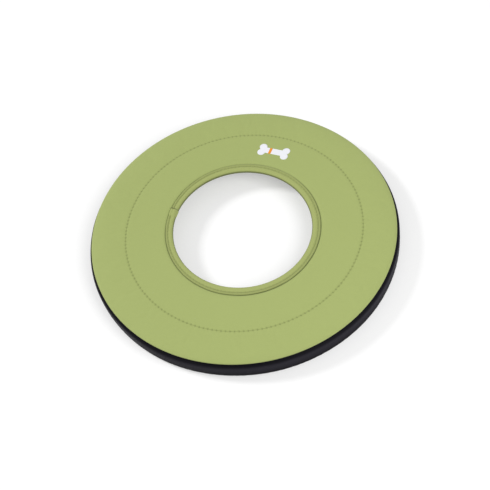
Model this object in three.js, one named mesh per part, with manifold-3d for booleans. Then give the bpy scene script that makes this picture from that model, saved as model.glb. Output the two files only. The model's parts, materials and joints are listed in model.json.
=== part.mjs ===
// Soft flying ring: a sewn fabric annulus with a thin web, a foam-filled rim and a bound centre hole.
// Millimetres, +Z up. The ring lies flat on the plane z = 0 and is centred on the Z axis.
import * as THREE from 'three';
import Module from 'manifold-3d';

const wasm = await Module();
wasm.setup();

// ---------------------------------------------------------------- driving dimensions (mm)
const SEGMENTS = 64; // facets around every ring
const GAP = 0.3; // air left between neighbouring pieces
const COVER = 0.8; // thickness of a cover fabric

const RIM_R = 125.0; // widest radius, on the bulge of the side band
const BULGE_Z = 11.2; // height of that bulge
const FOOT_R = 123.5; // radius where the side band meets the floor
const GREEN_R = 123.1; // radius of the top panel's sewn edge
const GREEN_Z = 15.5; // height of that edge

const WEB_TOP = 17.6; // upper face of the thin web
const WEB_BOTTOM = 14.6; // lower face of the thin web
const CROWN_R = 107.0; // radius of the padded rim's crown
const CROWN_Z = 18.3; // height of the crown, the highest point
const STITCH_R = 96.0; // row of stitches that closes the rim pocket
const STITCH_Z = 17.1; // the row pulls the panel down to here
const THREAD = 0.25; // thread radius

const HOLE_R = 56.9; // clear radius of the centre hole
const TAPE = 0.6; // thickness of the binding tape
const TAPE_R = 63.4; // outer edge of the folded tape
const ROLL = 1.75; // half thickness of the rolled edge
const ROLL_Z = 16.1; // middle height of the rolled edge
const TAPE_STITCH_R = 61.6; // row of stitches along the tape
const LAP_AT = 153.4; // direction of the middle of the tape's lapped end, in degrees from +X
const LAP_WIDE = 6.8; // angle that the lapped end covers, in degrees

const INNER_TOP_R = 97.0; // upper end of the rim's inner wall
const INNER_FOOT_R = 101.7; // lower end of the rim's inner wall
const PAN_IN = 102.0; // flat underside of the rim
const PAN_OUT = 120.9;

const MARK_AT = 61.2; // direction of the printed bone, in degrees from +X
const MARK_R = 79.8; // its distance from the centre
const MARK_LONG = 27.0; // its length, along the ring
const MARK_SHAFT = 5.8; // width of its shaft
const MARK_SPREAD = 2.9; // distance of each knob's centre from its middle line
const MARK_KNOB = 3.3; // radius of each knob
const MARK_FILM = 0.25; // thickness of the print
const STRIPE_LONG = 4.2; // stripe across the shaft
const STRIPE_WIDE = 2.2;
const STRIPE_SHIFT = -3.0; // its place along the shaft

// ---------------------------------------------------------------- materials
const GREEN = 0xadb875;
const BLACK = 0x2e2e33;
const THREAD_GREEN = 0x9ba666;
const FOAM = 0x55565c;

/** A material of its own for every mesh. */
function surface(color, roughness) {
  return new THREE.MeshStandardMaterial({ color, roughness, metalness: 0 });
}

/** A named mesh in the part's group. */
function piece(name, geometry, color, roughness = 0.85) {
  const mesh = new THREE.Mesh(geometry, surface(color, roughness));
  mesh.name = name;
  return mesh;
}

// ---------------------------------------------------------------- shared shapes
/** A closed ring turned about Z from a closed section of [radius, height] corners, anticlockwise. */
function turned(section) {
  const points = [...section, section[0]].map(([r, z]) => new THREE.Vector2(r, z));
  return new THREE.LatheGeometry(points, SEGMENTS).rotateX(Math.PI / 2);
}

/** A thread ring: a small four-sided section turned about Z. */
function threadRing(radius, height, size = THREAD) {
  return turned([
    [radius + size, height],
    [radius, height + size],
    [radius - size, height],
    [radius, height - size],
  ]);
}

/** A solid for joins and cuts. */
function solid(geometry) {
  const welded = new Map();
  const at = geometry.getAttribute('position');
  const order = geometry.index ? Array.from(geometry.index.array) : [...Array(at.count).keys()];
  const points = [];
  const number = (i) => {
    const p = [at.getX(i), at.getY(i), at.getZ(i)].map((v) => Math.round(v * 1e4) / 1e4);
    const key = p.join();
    if (!welded.has(key)) {
      welded.set(key, points.length / 3);
      points.push(...p);
    }
    return welded.get(key);
  };
  const corners = order.map(number);
  const kept = [];
  for (let i = 0; i < corners.length; i += 3) {
    const [a, b, c] = corners.slice(i, i + 3);
    if (a !== b && b !== c && c !== a) kept.push(a, b, c);
  }
  return new wasm.Manifold(
    new wasm.Mesh({
      numProp: 3,
      vertProperties: new Float32Array(points),
      triVerts: new Uint32Array(kept),
    }),
  );
}

/** A cut or joined solid as a geometry again. */
function geometryOf(body) {
  const mesh = body.getMesh();
  const geometry = new THREE.BufferGeometry();
  geometry.setAttribute('position', new THREE.BufferAttribute(mesh.vertProperties, 3));
  geometry.setIndex(new THREE.BufferAttribute(mesh.triVerts, 1));
  geometry.computeVertexNormals();
  return geometry;
}

/** A wedge about Z, centred on a direction, that reaches past the binding tape. */
function wedge(centre, wide) {
  const [low, high] = [centre - wide / 2, centre + wide / 2].map(THREE.MathUtils.degToRad);
  const far = TAPE_R + 10;
  const near = HOLE_R - 10;
  const shape = new THREE.Shape([
    new THREE.Vector2(near * Math.cos(low), near * Math.sin(low)),
    new THREE.Vector2(far * Math.cos(low), far * Math.sin(low)),
    new THREE.Vector2(far * Math.cos(high), far * Math.sin(high)),
    new THREE.Vector2(near * Math.cos(high), near * Math.sin(high)),
  ]);
  const block = new THREE.ExtrudeGeometry(shape, { depth: 10, bevelEnabled: false });
  return solid(block.translate(0, 0, ROLL_Z - 5));
}

// ---------------------------------------------------------------- covers
/** Upper face of the top panel from the binding to its outer edge. */
const TOP_LINE = [
  [59.2, 16.95],
  [63.8, 16.95],
  [66.0, WEB_TOP],
  [94.4, WEB_TOP],
  [STITCH_R, STITCH_Z],
  [97.6, 17.65],
  [101.5, 18.1],
  [CROWN_R, CROWN_Z],
  [112.5, 18.05],
  [118.0, 17.2],
  [121.4, 16.4],
];

/** Green face fabric: one annulus from the hole to the outer seam. */
function topPanel() {
  const edge = [
    [121.2, 15.55],
    [122.6, 15.3],
    [GREEN_R, GREEN_Z],
    [GREEN_R - 0.3, 15.95],
  ];
  const upper = [...TOP_LINE].reverse();
  const lower = TOP_LINE.slice(0, -1).map(([r, z]) => [r, z - COVER]);
  return turned([...lower, ...edge, ...upper]);
}

/** Black coated band around the rim, with its lower edge turned in under the foam. */
function sideBand() {
  return turned([
    [PAN_OUT + GAP, 0],
    [FOOT_R - 0.7, 0],
    [FOOT_R, 0.7],
    [FOOT_R + 0.8, 3.4],
    [RIM_R - 0.25, 7.2],
    [RIM_R, BULGE_Z],
    [RIM_R - 0.35, 13.3],
    [RIM_R - 1.1, 14.5],
    [GREEN_R, 15.05],
    [GREEN_R - 0.1, 14.4],
    [RIM_R - 1.5, 13.7],
    [RIM_R - 0.9, 12.8],
    [RIM_R - COVER, BULGE_Z],
    [RIM_R - 1.05, 7.2],
    [FOOT_R, 3.5],
    [FOOT_R - 0.9, COVER + 0.2],
    [PAN_OUT + GAP, COVER],
  ]);
}

/** Flat black annulus under the rim: the face that the ring rests on. */
function bottomPanel() {
  return turned([
    [PAN_IN, 0],
    [PAN_OUT, 0],
    [PAN_OUT, COVER],
    [PAN_IN, COVER],
  ]);
}

/** Black inner wall of the rim, from its foot up to the web. */
function innerBand() {
  return turned([
    [INNER_FOOT_R, 0],
    [INNER_FOOT_R, COVER],
    [INNER_FOOT_R - 0.5, 1.0],
    [INNER_TOP_R + 0.9, 14.1],
    [INNER_TOP_R, 14.1],
    [INNER_FOOT_R - 1.1, 0.6],
  ]);
}

/** Black lining under the web. */
function webLining() {
  const outer = STITCH_R + 0.6;
  return turned([
    [59.2, 15.25],
    [63.8, 15.25],
    [66.0, WEB_BOTTOM],
    [outer, WEB_BOTTOM],
    [outer, WEB_BOTTOM + TAPE],
    [66.0, WEB_BOTTOM + TAPE],
    [63.8, 15.85],
    [59.2, 15.85],
  ]);
}

// ---------------------------------------------------------------- foams
/** Thin foam sheet inside the web, thinner under the row of stitches. */
function webFoam() {
  const low = WEB_BOTTOM + TAPE + GAP;
  return turned([
    [66.4, low],
    [97.4, low],
    [97.4, low + 0.5],
    [95.2, low + 0.5],
    [94.2, low + 1.0],
    [66.4, low + 1.0],
  ]);
}

/** Closed-cell foam ring that fills the rim. */
function rimFoam() {
  return turned([
    [101.6, 2.0],
    [121.9, 2.0],
    [123.0, 5.0],
    [123.7, 9.0],
    [123.4, 12.4],
    [122.0, 13.8],
    [120.6, 15.3],
    [117.8, 16.1],
    [112.5, 16.95],
    [CROWN_R, CROWN_Z - COVER - GAP],
    [101.5, 16.95],
    [98.5, 16.45],
    [98.5, 14.2],
  ]);
}

// ---------------------------------------------------------------- binding of the hole
/** Section of the folded tape: two flaps joined by the roll at the hole's edge. */
function tapeSection() {
  const fold = HOLE_R + ROLL;
  const arc = (radius, turns) =>
    turns.map((t) => [fold + radius * Math.cos(t * Math.PI), ROLL_Z + radius * Math.sin(t * Math.PI)]);
  const top = ROLL_Z + ROLL;
  const bottom = ROLL_Z - ROLL;
  return [
    ...arc(ROLL, [0.5, 0.68, 0.84, 1, 1.16, 1.32, 1.5]),
    [60.7, bottom - 0.05],
    [TAPE_STITCH_R, bottom + 0.3],
    [62.5, bottom],
    [TAPE_R, bottom + 0.05],
    [TAPE_R, bottom + TAPE],
    ...arc(ROLL - TAPE, [1.5, 1.25, 1, 0.75, 0.5]),
    [TAPE_R, top - TAPE],
    [TAPE_R, top - 0.05],
    [62.5, top],
    [TAPE_STITCH_R, top - 0.3],
    [60.7, top + 0.05],
  ];
}

/** Green tape folded around the hole's edge, open where its lapped end lies. */
function holeBinding() {
  return geometryOf(solid(turned(tapeSection())).subtract(wedge(LAP_AT, LAP_WIDE + 0.6)));
}

/** The tape's turned-under end, lapped over its start. */
function bindingLap() {
  return geometryOf(solid(turned(tapeSection())).intersect(wedge(LAP_AT, LAP_WIDE)));
}

// ---------------------------------------------------------------- printed mark
/** Outline of the bone, along X, centred on the origin: four knobs joined by a shaft. */
function boneOutline() {
  const x = MARK_LONG / 2 - MARK_KNOB;
  const crotch = Math.asin(MARK_SPREAD / MARK_KNOB);
  const neck = Math.asin((MARK_SPREAD - MARK_SHAFT / 2) / MARK_KNOB);
  const knob = (cx, cy, from, to, steps) =>
    Array.from({ length: steps }, (_, i) => {
      const a = from + ((to - from) * i) / 10;
      return new THREE.Vector2(cx + MARK_KNOB * Math.cos(a), cy + MARK_KNOB * Math.sin(a));
    });
  return new THREE.Shape([
    ...knob(x, -MARK_SPREAD, Math.PI - neck, 2 * Math.PI + crotch, 10),
    ...knob(x, MARK_SPREAD, -crotch, Math.PI + neck, 11),
    ...knob(-x, MARK_SPREAD, -neck, Math.PI + crotch, 10),
    ...knob(-x, -MARK_SPREAD, Math.PI - crotch, 2 * Math.PI + neck, 11),
  ]);
}

/** A box outline, along X. */
function boxOutline(x, wide, long) {
  return [
    [x - wide / 2, -long / 2],
    [x + wide / 2, -long / 2],
    [x + wide / 2, long / 2],
    [x - wide / 2, long / 2],
  ].map(([u, v]) => new THREE.Vector2(u, v));
}

/** A flat film of print laid on the web, with its length along the ring. */
function printed(shape) {
  const film = new THREE.ExtrudeGeometry(shape, {
    depth: MARK_FILM,
    bevelEnabled: false,
    curveSegments: 10,
  });
  return film
    .translate(0, MARK_R, WEB_TOP + GAP)
    .rotateZ(THREE.MathUtils.degToRad(MARK_AT - 90));
}

/** White bone print, with a window for its stripe. */
function printBone() {
  const shape = boneOutline();
  const window = boxOutline(STRIPE_SHIFT, STRIPE_WIDE + 2 * GAP, STRIPE_LONG + 2 * GAP);
  shape.holes.push(new THREE.Path(window.reverse()));
  return printed(shape);
}

/** Orange stripe in the bone's window. */
function printStripe() {
  return printed(new THREE.Shape(boxOutline(STRIPE_SHIFT, STRIPE_WIDE, STRIPE_LONG)));
}

// ---------------------------------------------------------------- assembly
const group = new THREE.Group();
group.name = 'soft_flying_ring';
const tapeTop = ROLL_Z + ROLL - 0.3;
const tapeBottom = ROLL_Z - ROLL + 0.3;
group.add(
  piece('top_panel', topPanel(), GREEN),
  piece('side_band', sideBand(), BLACK, 0.5),
  piece('bottom_panel', bottomPanel(), BLACK, 0.7),
  piece('inner_band', innerBand(), BLACK, 0.7),
  piece('web_lining', webLining(), BLACK, 0.8),
  piece('web_foam', webFoam(), FOAM, 0.9),
  piece('rim_foam', rimFoam(), FOAM, 0.9),
  piece('hole_binding', holeBinding(), GREEN, 0.8),
  piece('binding_lap', bindingLap(), GREEN, 0.8),
  piece('ring_stitch_top', threadRing(STITCH_R, STITCH_Z + GAP + THREAD), THREAD_GREEN),
  piece('ring_stitch_bobbin', threadRing(STITCH_R, WEB_BOTTOM - GAP - THREAD), BLACK),
  piece('binding_stitch_top', threadRing(TAPE_STITCH_R, tapeTop + GAP + 0.2, 0.2), THREAD_GREEN),
  piece('binding_stitch_bobbin', threadRing(TAPE_STITCH_R, tapeBottom - GAP - 0.2, 0.2), BLACK),
  piece('edge_seam_thread', threadRing(121.9, 14.75, 0.2), BLACK),
  piece('outer_foot_thread', threadRing(PAN_OUT + GAP / 2, 1.4, 0.2), BLACK),
  piece('inner_foot_thread', threadRing(PAN_IN + 0.2, 1.4, 0.2), BLACK),
  piece('print_bone', printBone(), 0xf0f0f6, 0.55),
  piece('print_stripe', printStripe(), 0xf2a02c, 0.55),
);

export default group;
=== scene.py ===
"""Looks of a soft flying ring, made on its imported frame.

The ring lies flat on z = 0, centred on the Z axis, with its green face up and the viewer on the -Y
side. Every length in Blender is in metres. The sections of the sewn pieces are lists of (radius,
height) in millimetres. They run so that the cloth's outer side is on their left: outward over the
face, down the side, inward under the foot and up the inner wall.
"""

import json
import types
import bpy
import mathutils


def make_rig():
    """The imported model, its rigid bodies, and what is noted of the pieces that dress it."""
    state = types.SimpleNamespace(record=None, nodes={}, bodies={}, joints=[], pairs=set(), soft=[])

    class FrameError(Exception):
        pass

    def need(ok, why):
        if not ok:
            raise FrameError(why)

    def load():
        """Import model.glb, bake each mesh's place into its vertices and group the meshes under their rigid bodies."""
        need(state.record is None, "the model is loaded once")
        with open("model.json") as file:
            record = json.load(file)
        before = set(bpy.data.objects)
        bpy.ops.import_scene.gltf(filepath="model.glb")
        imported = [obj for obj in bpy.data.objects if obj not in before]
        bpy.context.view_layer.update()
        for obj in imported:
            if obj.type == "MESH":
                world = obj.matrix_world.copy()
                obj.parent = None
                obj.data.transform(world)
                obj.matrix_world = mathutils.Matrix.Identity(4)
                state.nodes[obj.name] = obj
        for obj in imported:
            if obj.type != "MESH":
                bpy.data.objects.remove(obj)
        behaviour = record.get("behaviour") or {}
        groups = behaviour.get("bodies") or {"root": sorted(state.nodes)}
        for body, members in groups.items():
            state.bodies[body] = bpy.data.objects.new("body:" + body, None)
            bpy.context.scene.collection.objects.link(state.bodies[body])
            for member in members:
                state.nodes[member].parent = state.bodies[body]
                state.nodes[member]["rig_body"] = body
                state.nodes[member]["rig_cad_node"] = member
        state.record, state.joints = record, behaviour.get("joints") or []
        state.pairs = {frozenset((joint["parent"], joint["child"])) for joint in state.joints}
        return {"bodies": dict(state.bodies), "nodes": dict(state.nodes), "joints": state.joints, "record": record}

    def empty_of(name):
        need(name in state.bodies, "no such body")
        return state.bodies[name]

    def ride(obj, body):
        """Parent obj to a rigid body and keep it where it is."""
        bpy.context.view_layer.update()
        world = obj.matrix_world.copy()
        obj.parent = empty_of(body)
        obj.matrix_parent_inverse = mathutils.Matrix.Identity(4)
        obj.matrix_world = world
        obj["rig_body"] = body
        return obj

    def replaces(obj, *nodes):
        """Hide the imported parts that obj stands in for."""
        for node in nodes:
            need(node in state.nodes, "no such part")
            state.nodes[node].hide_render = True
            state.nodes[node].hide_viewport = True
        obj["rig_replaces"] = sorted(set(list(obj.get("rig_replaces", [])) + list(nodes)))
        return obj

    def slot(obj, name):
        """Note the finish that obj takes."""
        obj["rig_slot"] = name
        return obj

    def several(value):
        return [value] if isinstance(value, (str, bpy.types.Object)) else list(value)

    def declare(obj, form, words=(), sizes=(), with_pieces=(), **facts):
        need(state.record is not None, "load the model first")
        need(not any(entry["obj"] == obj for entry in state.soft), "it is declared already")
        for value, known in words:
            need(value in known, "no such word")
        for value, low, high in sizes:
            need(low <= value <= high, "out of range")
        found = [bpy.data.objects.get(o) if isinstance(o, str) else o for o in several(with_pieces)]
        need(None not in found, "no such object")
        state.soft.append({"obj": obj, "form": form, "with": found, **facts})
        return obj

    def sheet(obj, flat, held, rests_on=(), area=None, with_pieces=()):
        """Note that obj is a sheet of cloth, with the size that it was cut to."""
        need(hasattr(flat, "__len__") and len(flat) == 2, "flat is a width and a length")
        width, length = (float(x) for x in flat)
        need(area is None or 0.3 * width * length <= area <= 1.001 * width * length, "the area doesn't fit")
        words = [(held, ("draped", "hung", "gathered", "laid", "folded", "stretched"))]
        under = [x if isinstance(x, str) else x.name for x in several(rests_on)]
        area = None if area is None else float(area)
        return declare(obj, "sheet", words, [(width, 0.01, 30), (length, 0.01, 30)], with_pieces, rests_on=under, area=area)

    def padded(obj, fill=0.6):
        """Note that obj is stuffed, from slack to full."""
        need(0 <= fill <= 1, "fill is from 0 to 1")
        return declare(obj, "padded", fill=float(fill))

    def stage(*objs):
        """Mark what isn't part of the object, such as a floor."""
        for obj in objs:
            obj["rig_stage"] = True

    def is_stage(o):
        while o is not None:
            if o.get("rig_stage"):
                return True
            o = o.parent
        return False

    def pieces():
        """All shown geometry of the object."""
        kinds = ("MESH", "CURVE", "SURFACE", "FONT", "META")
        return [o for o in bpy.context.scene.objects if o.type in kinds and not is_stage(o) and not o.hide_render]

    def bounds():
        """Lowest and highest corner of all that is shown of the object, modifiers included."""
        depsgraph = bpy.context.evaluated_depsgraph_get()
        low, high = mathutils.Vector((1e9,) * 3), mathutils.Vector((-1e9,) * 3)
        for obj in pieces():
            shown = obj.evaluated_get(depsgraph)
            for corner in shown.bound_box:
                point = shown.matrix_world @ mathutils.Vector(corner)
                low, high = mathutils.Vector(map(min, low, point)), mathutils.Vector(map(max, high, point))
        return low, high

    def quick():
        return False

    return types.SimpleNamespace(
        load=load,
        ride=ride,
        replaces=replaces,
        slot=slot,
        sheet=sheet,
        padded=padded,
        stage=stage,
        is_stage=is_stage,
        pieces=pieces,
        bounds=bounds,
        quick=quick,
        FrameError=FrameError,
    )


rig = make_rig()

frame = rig.load()
CAD_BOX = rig.bounds()

import json
import logging
import math
from dataclasses import dataclass, field
from enum import Enum
from typing import Any, Callable, ClassVar, Sequence

import bpy
import numpy as np
from mathutils import Matrix, Vector
from mathutils.geometry import delaunay_2d_cdt

log = logging.getLogger("flying_ring")

MM = 0.001
TURN = 2.0 * math.pi
BODY = "root"

Line = Sequence[tuple[float, float]]
Colour = tuple[float, float, float]
Spacing = Callable[[np.ndarray], np.ndarray]


# ------------------------------------------------------------------------------------ driving values
@dataclass(frozen=True)
class RingSizes:
    """Driving sizes that several pieces share, as the frame has them.

    Attributes:
        green_z: height of the green face's outer edge, in metres.
        stitch_r: radius of the row of stitches on the face, in metres.
        tape_stitch_r: radius of the row on the tape, in metres.
        face_stitches: stitches in the face's row.
        tape_stitches: stitches in the tape's row.
        lap_from: where the tape's lap starts, in radians.
        lap_wide: how far it reaches round the hole, in radians.
    """

    green_z: float = 15.5 * MM
    stitch_r: float = 96.0 * MM
    tape_stitch_r: float = 61.6 * MM
    face_stitches: int = 175
    tape_stitches: int = 122
    lap_from: float = math.radians(150.0)
    lap_wide: float = math.radians(6.8)


SIZES = RingSizes()


@dataclass(frozen=True)
class OutOfRound:
    """How far the sewing is out of round at one radius.

    Attributes:
        radius: where, in metres.
        wide: stretch along X.
        deep: stretch along Y.
        lean: slant of the oval.
        across: shift along X, in metres.
        along: shift along Y, in metres.
    """

    radius: float
    wide: float
    deep: float
    lean: float
    across: float
    along: float


SEWING = (
    OutOfRound(57.0 * MM, -0.017, 0.006, -0.007, 0.1 * MM, -0.5 * MM),
    OutOfRound(63.6 * MM, -0.02, 0.016, -0.003, 0.5 * MM, -0.4 * MM),
    OutOfRound(96.0 * MM, -0.003, 0.005, 0.003, 1.0 * MM, -0.2 * MM),
    OutOfRound(114.0 * MM, 0.0, 0.0, 0.0, 0.0, 0.0),
)


def as_sewn(x: np.ndarray, y: np.ndarray) -> tuple[np.ndarray, np.ndarray]:
    """Moves points from the true circles to where the sewing has them.

    Args:
        x: in metres.
        y: in metres.

    Returns:
        The moved x and y.
    """
    radius, at = np.hypot(x, y), [s.radius for s in SEWING]
    wide, deep, lean, across, along = (
        np.interp(radius, at, [getattr(s, name) for s in SEWING])
        for name in ("wide", "deep", "lean", "across", "along")
    )
    return x * (1 + wide) + lean * y + across, y * (1 + deep) + lean * x + along


def sew(piece: bpy.types.Object) -> None:
    """Moves all of a piece's points to where the sewing has them.

    Args:
        piece: the object, made on true circles.
    """
    at = np.empty(len(piece.data.vertices) * 3, np.float32)
    piece.data.vertices.foreach_get("co", at)
    at = at.reshape(-1, 3)
    at[:, 0], at[:, 1] = as_sewn(at[:, 0].astype(float), at[:, 1].astype(float))
    piece.data.vertices.foreach_set("co", at.reshape(-1))
    piece.data.update()


# ------------------------------------------------------------------------------------ section lines
def dense_line(corners: Line, steps: int = 24) -> np.ndarray:
    """Draws a smooth line through the corners of a section.

    Args:
        corners: (radius, height) in millimetres, in order.
        steps: points from each corner to the next.

    Returns:
        The line's points in metres, one row each, with corner i at row i * steps.
    """
    p = np.array(corners, float) * MM
    gap = np.linalg.norm(np.diff(p, axis=0), axis=1)[:, None]
    run = np.diff(p, axis=0) / gap
    slope = np.vstack([run[:1], (run[1:] * gap[:-1] + run[:-1] * gap[1:]) / (gap[:-1] + gap[1:]), run[-1:]])
    t = np.linspace(0, 1, steps, endpoint=False)[None, :, None]
    a, b = p[:-1, None], p[1:, None]
    ma, mb = slope[:-1, None] * gap[:, None], slope[1:, None] * gap[:, None]
    curve = (
        (2 * t**3 - 3 * t**2 + 1) * a
        + (t**3 - 2 * t**2 + t) * ma
        + (3 * t**2 - 2 * t**3) * b
        + (t**3 - t**2) * mb
    )
    return np.vstack([curve.reshape(-1, 2), p[-1:]])


def arc_length(line: np.ndarray) -> np.ndarray:
    """Distance along a line at each of its points."""
    return np.concatenate([[0.0], np.cumsum(np.linalg.norm(np.diff(line, axis=0), axis=1))])


def spaced_rows(line: np.ndarray, spacing: Spacing) -> tuple[np.ndarray, np.ndarray]:
    """Picks rows along a line, closer together where more detail is needed.

    Args:
        line: a dense line, in metres.
        spacing: the wanted gap at each radius, in metres.

    Returns:
        The rows' points, and their distance along the line.
    """
    along = arc_length(line)
    rate = 1.0 / spacing(line[:, 0])
    need = np.concatenate([[0.0], np.cumsum(np.diff(along) * (rate[1:] + rate[:-1]) / 2)])
    at = np.interp(np.linspace(0, need[-1], math.ceil(need[-1]) + 1), need, along)
    return np.stack([np.interp(at, along, line[:, k]) for k in (0, 1)], axis=1), at


def finer_near(base: float, fine: float, *places: tuple[float, float]) -> Spacing:
    """A spacing rule that is fine near some radii.

    Args:
        base: the gap elsewhere, in millimetres.
        fine: the gap at those radii, in millimetres.
        *places: (radius, width) of each fine zone, in millimetres.

    Returns:
        The rule, in metres.
    """

    def rule(radius: np.ndarray) -> np.ndarray:
        """The gap at each radius.

        Args:
            radius: radii, in metres.

        Returns:
            The gaps, in metres.
        """
        near = np.zeros_like(radius)
        for centre, width in places:
            near = np.maximum(near, np.exp(-(((radius / MM - centre) / width) ** 4)))
        return (base + (fine - base) * near) * MM

    return rule


def bell(distance: np.ndarray, width: float) -> np.ndarray:
    """A smooth bump of height 1 that fades over a width."""
    return np.exp(-((distance / width) ** 2))


def near_needle(angle: np.ndarray, stitches: int, width: float) -> np.ndarray:
    """How close each place round the ring is to a needle hole of a row.

    Args:
        angle: angles in radians.
        stitches: stitches in the row.
        width: reach of a hole, as a share of a stitch.

    Returns:
        Values from 0 to 1, with 1 at the holes.
    """
    phase = (angle * stitches / TURN) % 1.0
    return bell(np.minimum(phase, 1 - phase), width)


def ring_waves(angle: np.ndarray, seed: int, slowest: int, fastest: int) -> np.ndarray:
    """Seeded waves round the ring that join up with themselves.

    Args:
        angle: angles in radians.
        seed: picks the pattern.
        slowest: the fewest waves in a turn.
        fastest: the most waves in a turn.

    Returns:
        Values of about -1 to 1.
    """
    rng = np.random.default_rng(seed)
    total = np.zeros_like(angle)
    count = min(14, fastest - slowest + 1)
    for waves in rng.choice(np.arange(slowest, fastest + 1), count, replace=False):
        total += rng.uniform(0.5, 1.0) * np.sin(waves * angle + rng.uniform(0, TURN))
    return total / (0.75 * math.sqrt(count) * 1.6)


# ------------------------------------------------------------------------------------ meshes
def mesh_object(name: str, points: np.ndarray, faces: list[tuple[int, ...]]) -> bpy.types.Object:
    """Puts a mesh with smooth shading in the scene.

    Args:
        name: the piece's name.
        points: corners, one row each, in metres.
        faces: corner numbers of each face, anticlockwise from outside.

    Returns:
        The new object, at the origin.
    """
    mesh = bpy.data.meshes.new(name)
    mesh.from_pydata(points.tolist(), [], faces)
    mesh.polygons.foreach_set("use_smooth", np.ones(len(mesh.polygons), bool))
    mesh.update()
    piece = bpy.data.objects.new(name, mesh)
    bpy.context.scene.collection.objects.link(piece)
    return piece


def ring_faces(rows: int, columns: int, closed: bool = False) -> np.ndarray:
    """Faces of a grid that joins up round the ring.

    Args:
        rows: rows of points along the section.
        columns: points in each row.
        closed: also joins the last row to the first.

    Returns:
        Four corner numbers for each face.
    """
    i, j = np.meshgrid(np.arange(rows if closed else rows - 1), np.arange(columns), indexing="ij")
    below, beside = (i + 1) % rows, (j + 1) % columns
    corners = [i * columns + j, below * columns + j, below * columns + beside, i * columns + beside]
    return np.stack(corners, axis=-1).reshape(-1, 4)


def ring_object(name: str, radius: np.ndarray, height: np.ndarray, closed: bool = False) -> bpy.types.Object:
    """Makes a ring-shaped piece from radii and heights.

    Args:
        name: the piece's name.
        radius: rows by columns, in metres.
        height: rows by columns, in metres.
        closed: joins the last row to the first.

    Returns:
        The new object.
    """
    rows, columns = radius.shape
    angle = np.arange(columns) * TURN / columns
    points = np.stack([radius * np.cos(angle), radius * np.sin(angle), height], axis=-1).reshape(-1, 3)
    return mesh_object(name, points, ring_faces(rows, columns, closed).tolist())


def lay_cloth_map(piece: bpy.types.Object, along: np.ndarray, columns: int, around: float) -> None:
    """Gives a ring-shaped cloth its own map, in metres.

    Args:
        piece: the ring-shaped object.
        along: distance of each row along the section.
        columns: points in each row.
        around: length of the cloth once round the ring.
    """
    rows = len(along)
    i, j = np.meshgrid(np.arange(rows - 1), np.arange(columns), indexing="ij")
    u = np.stack([j, j, j + 1, j + 1], axis=-1) * around / columns
    v = np.stack([along[i], along[i + 1], along[i + 1], along[i]], axis=-1)
    layer = piece.data.uv_layers.new(name="cloth")
    layer.data.foreach_set("uv", np.stack([u, v], axis=-1).reshape(-1).astype(np.float32))


def lay_flat_map(piece: bpy.types.Object, turned: float) -> None:
    """Gives a flat-cut cloth its own map: its plan, turned so that the threads run as cut.

    Args:
        piece: the cloth.
        turned: angle of the threads from X, in radians.
    """
    mesh = piece.data
    at = np.empty(len(mesh.vertices) * 3, np.float32)
    mesh.vertices.foreach_get("co", at)
    corner = np.empty(len(mesh.loops), np.int32)
    mesh.loops.foreach_get("vertex_index", corner)
    x, y = at.reshape(-1, 3)[corner, :2].T
    u = x * math.cos(turned) + y * math.sin(turned)
    v = y * math.cos(turned) - x * math.sin(turned)
    layer = mesh.uv_layers.new(name="cloth")
    layer.data.foreach_set("uv", np.stack([u, v], axis=-1).reshape(-1).astype(np.float32))


def mark_points(piece: bpy.types.Object, name: str, values: np.ndarray) -> None:
    """Stores a value from 0 to 1 at each point for the materials to read."""
    layer = piece.data.attributes.new(name, "FLOAT", "POINT")
    layer.data.foreach_set("value", values.reshape(-1).astype(np.float32))


def thicken(piece: bpy.types.Object, thickness: float) -> None:
    """Gives a cloth its thickness, inward from its outer side.

    Args:
        piece: the cloth, one layer.
        thickness: in metres.
    """
    wall = piece.modifiers.new("cloth thickness", "SOLIDIFY")
    wall.thickness = thickness
    wall.offset = -1.0
    wall.use_even_offset = False
    wall.use_quality_normals = True


def plain_mesh(piece: bpy.types.Object) -> None:
    """Turns an object's modifiers into plain mesh and removes them.

    Args:
        piece: the object.
    """
    seen = bpy.context.evaluated_depsgraph_get()
    made = bpy.data.meshes.new_from_object(piece.evaluated_get(seen), depsgraph=seen)
    piece.modifiers.clear()
    old, piece.data = piece.data, made
    made.name = piece.name
    bpy.data.meshes.remove(old)


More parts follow.
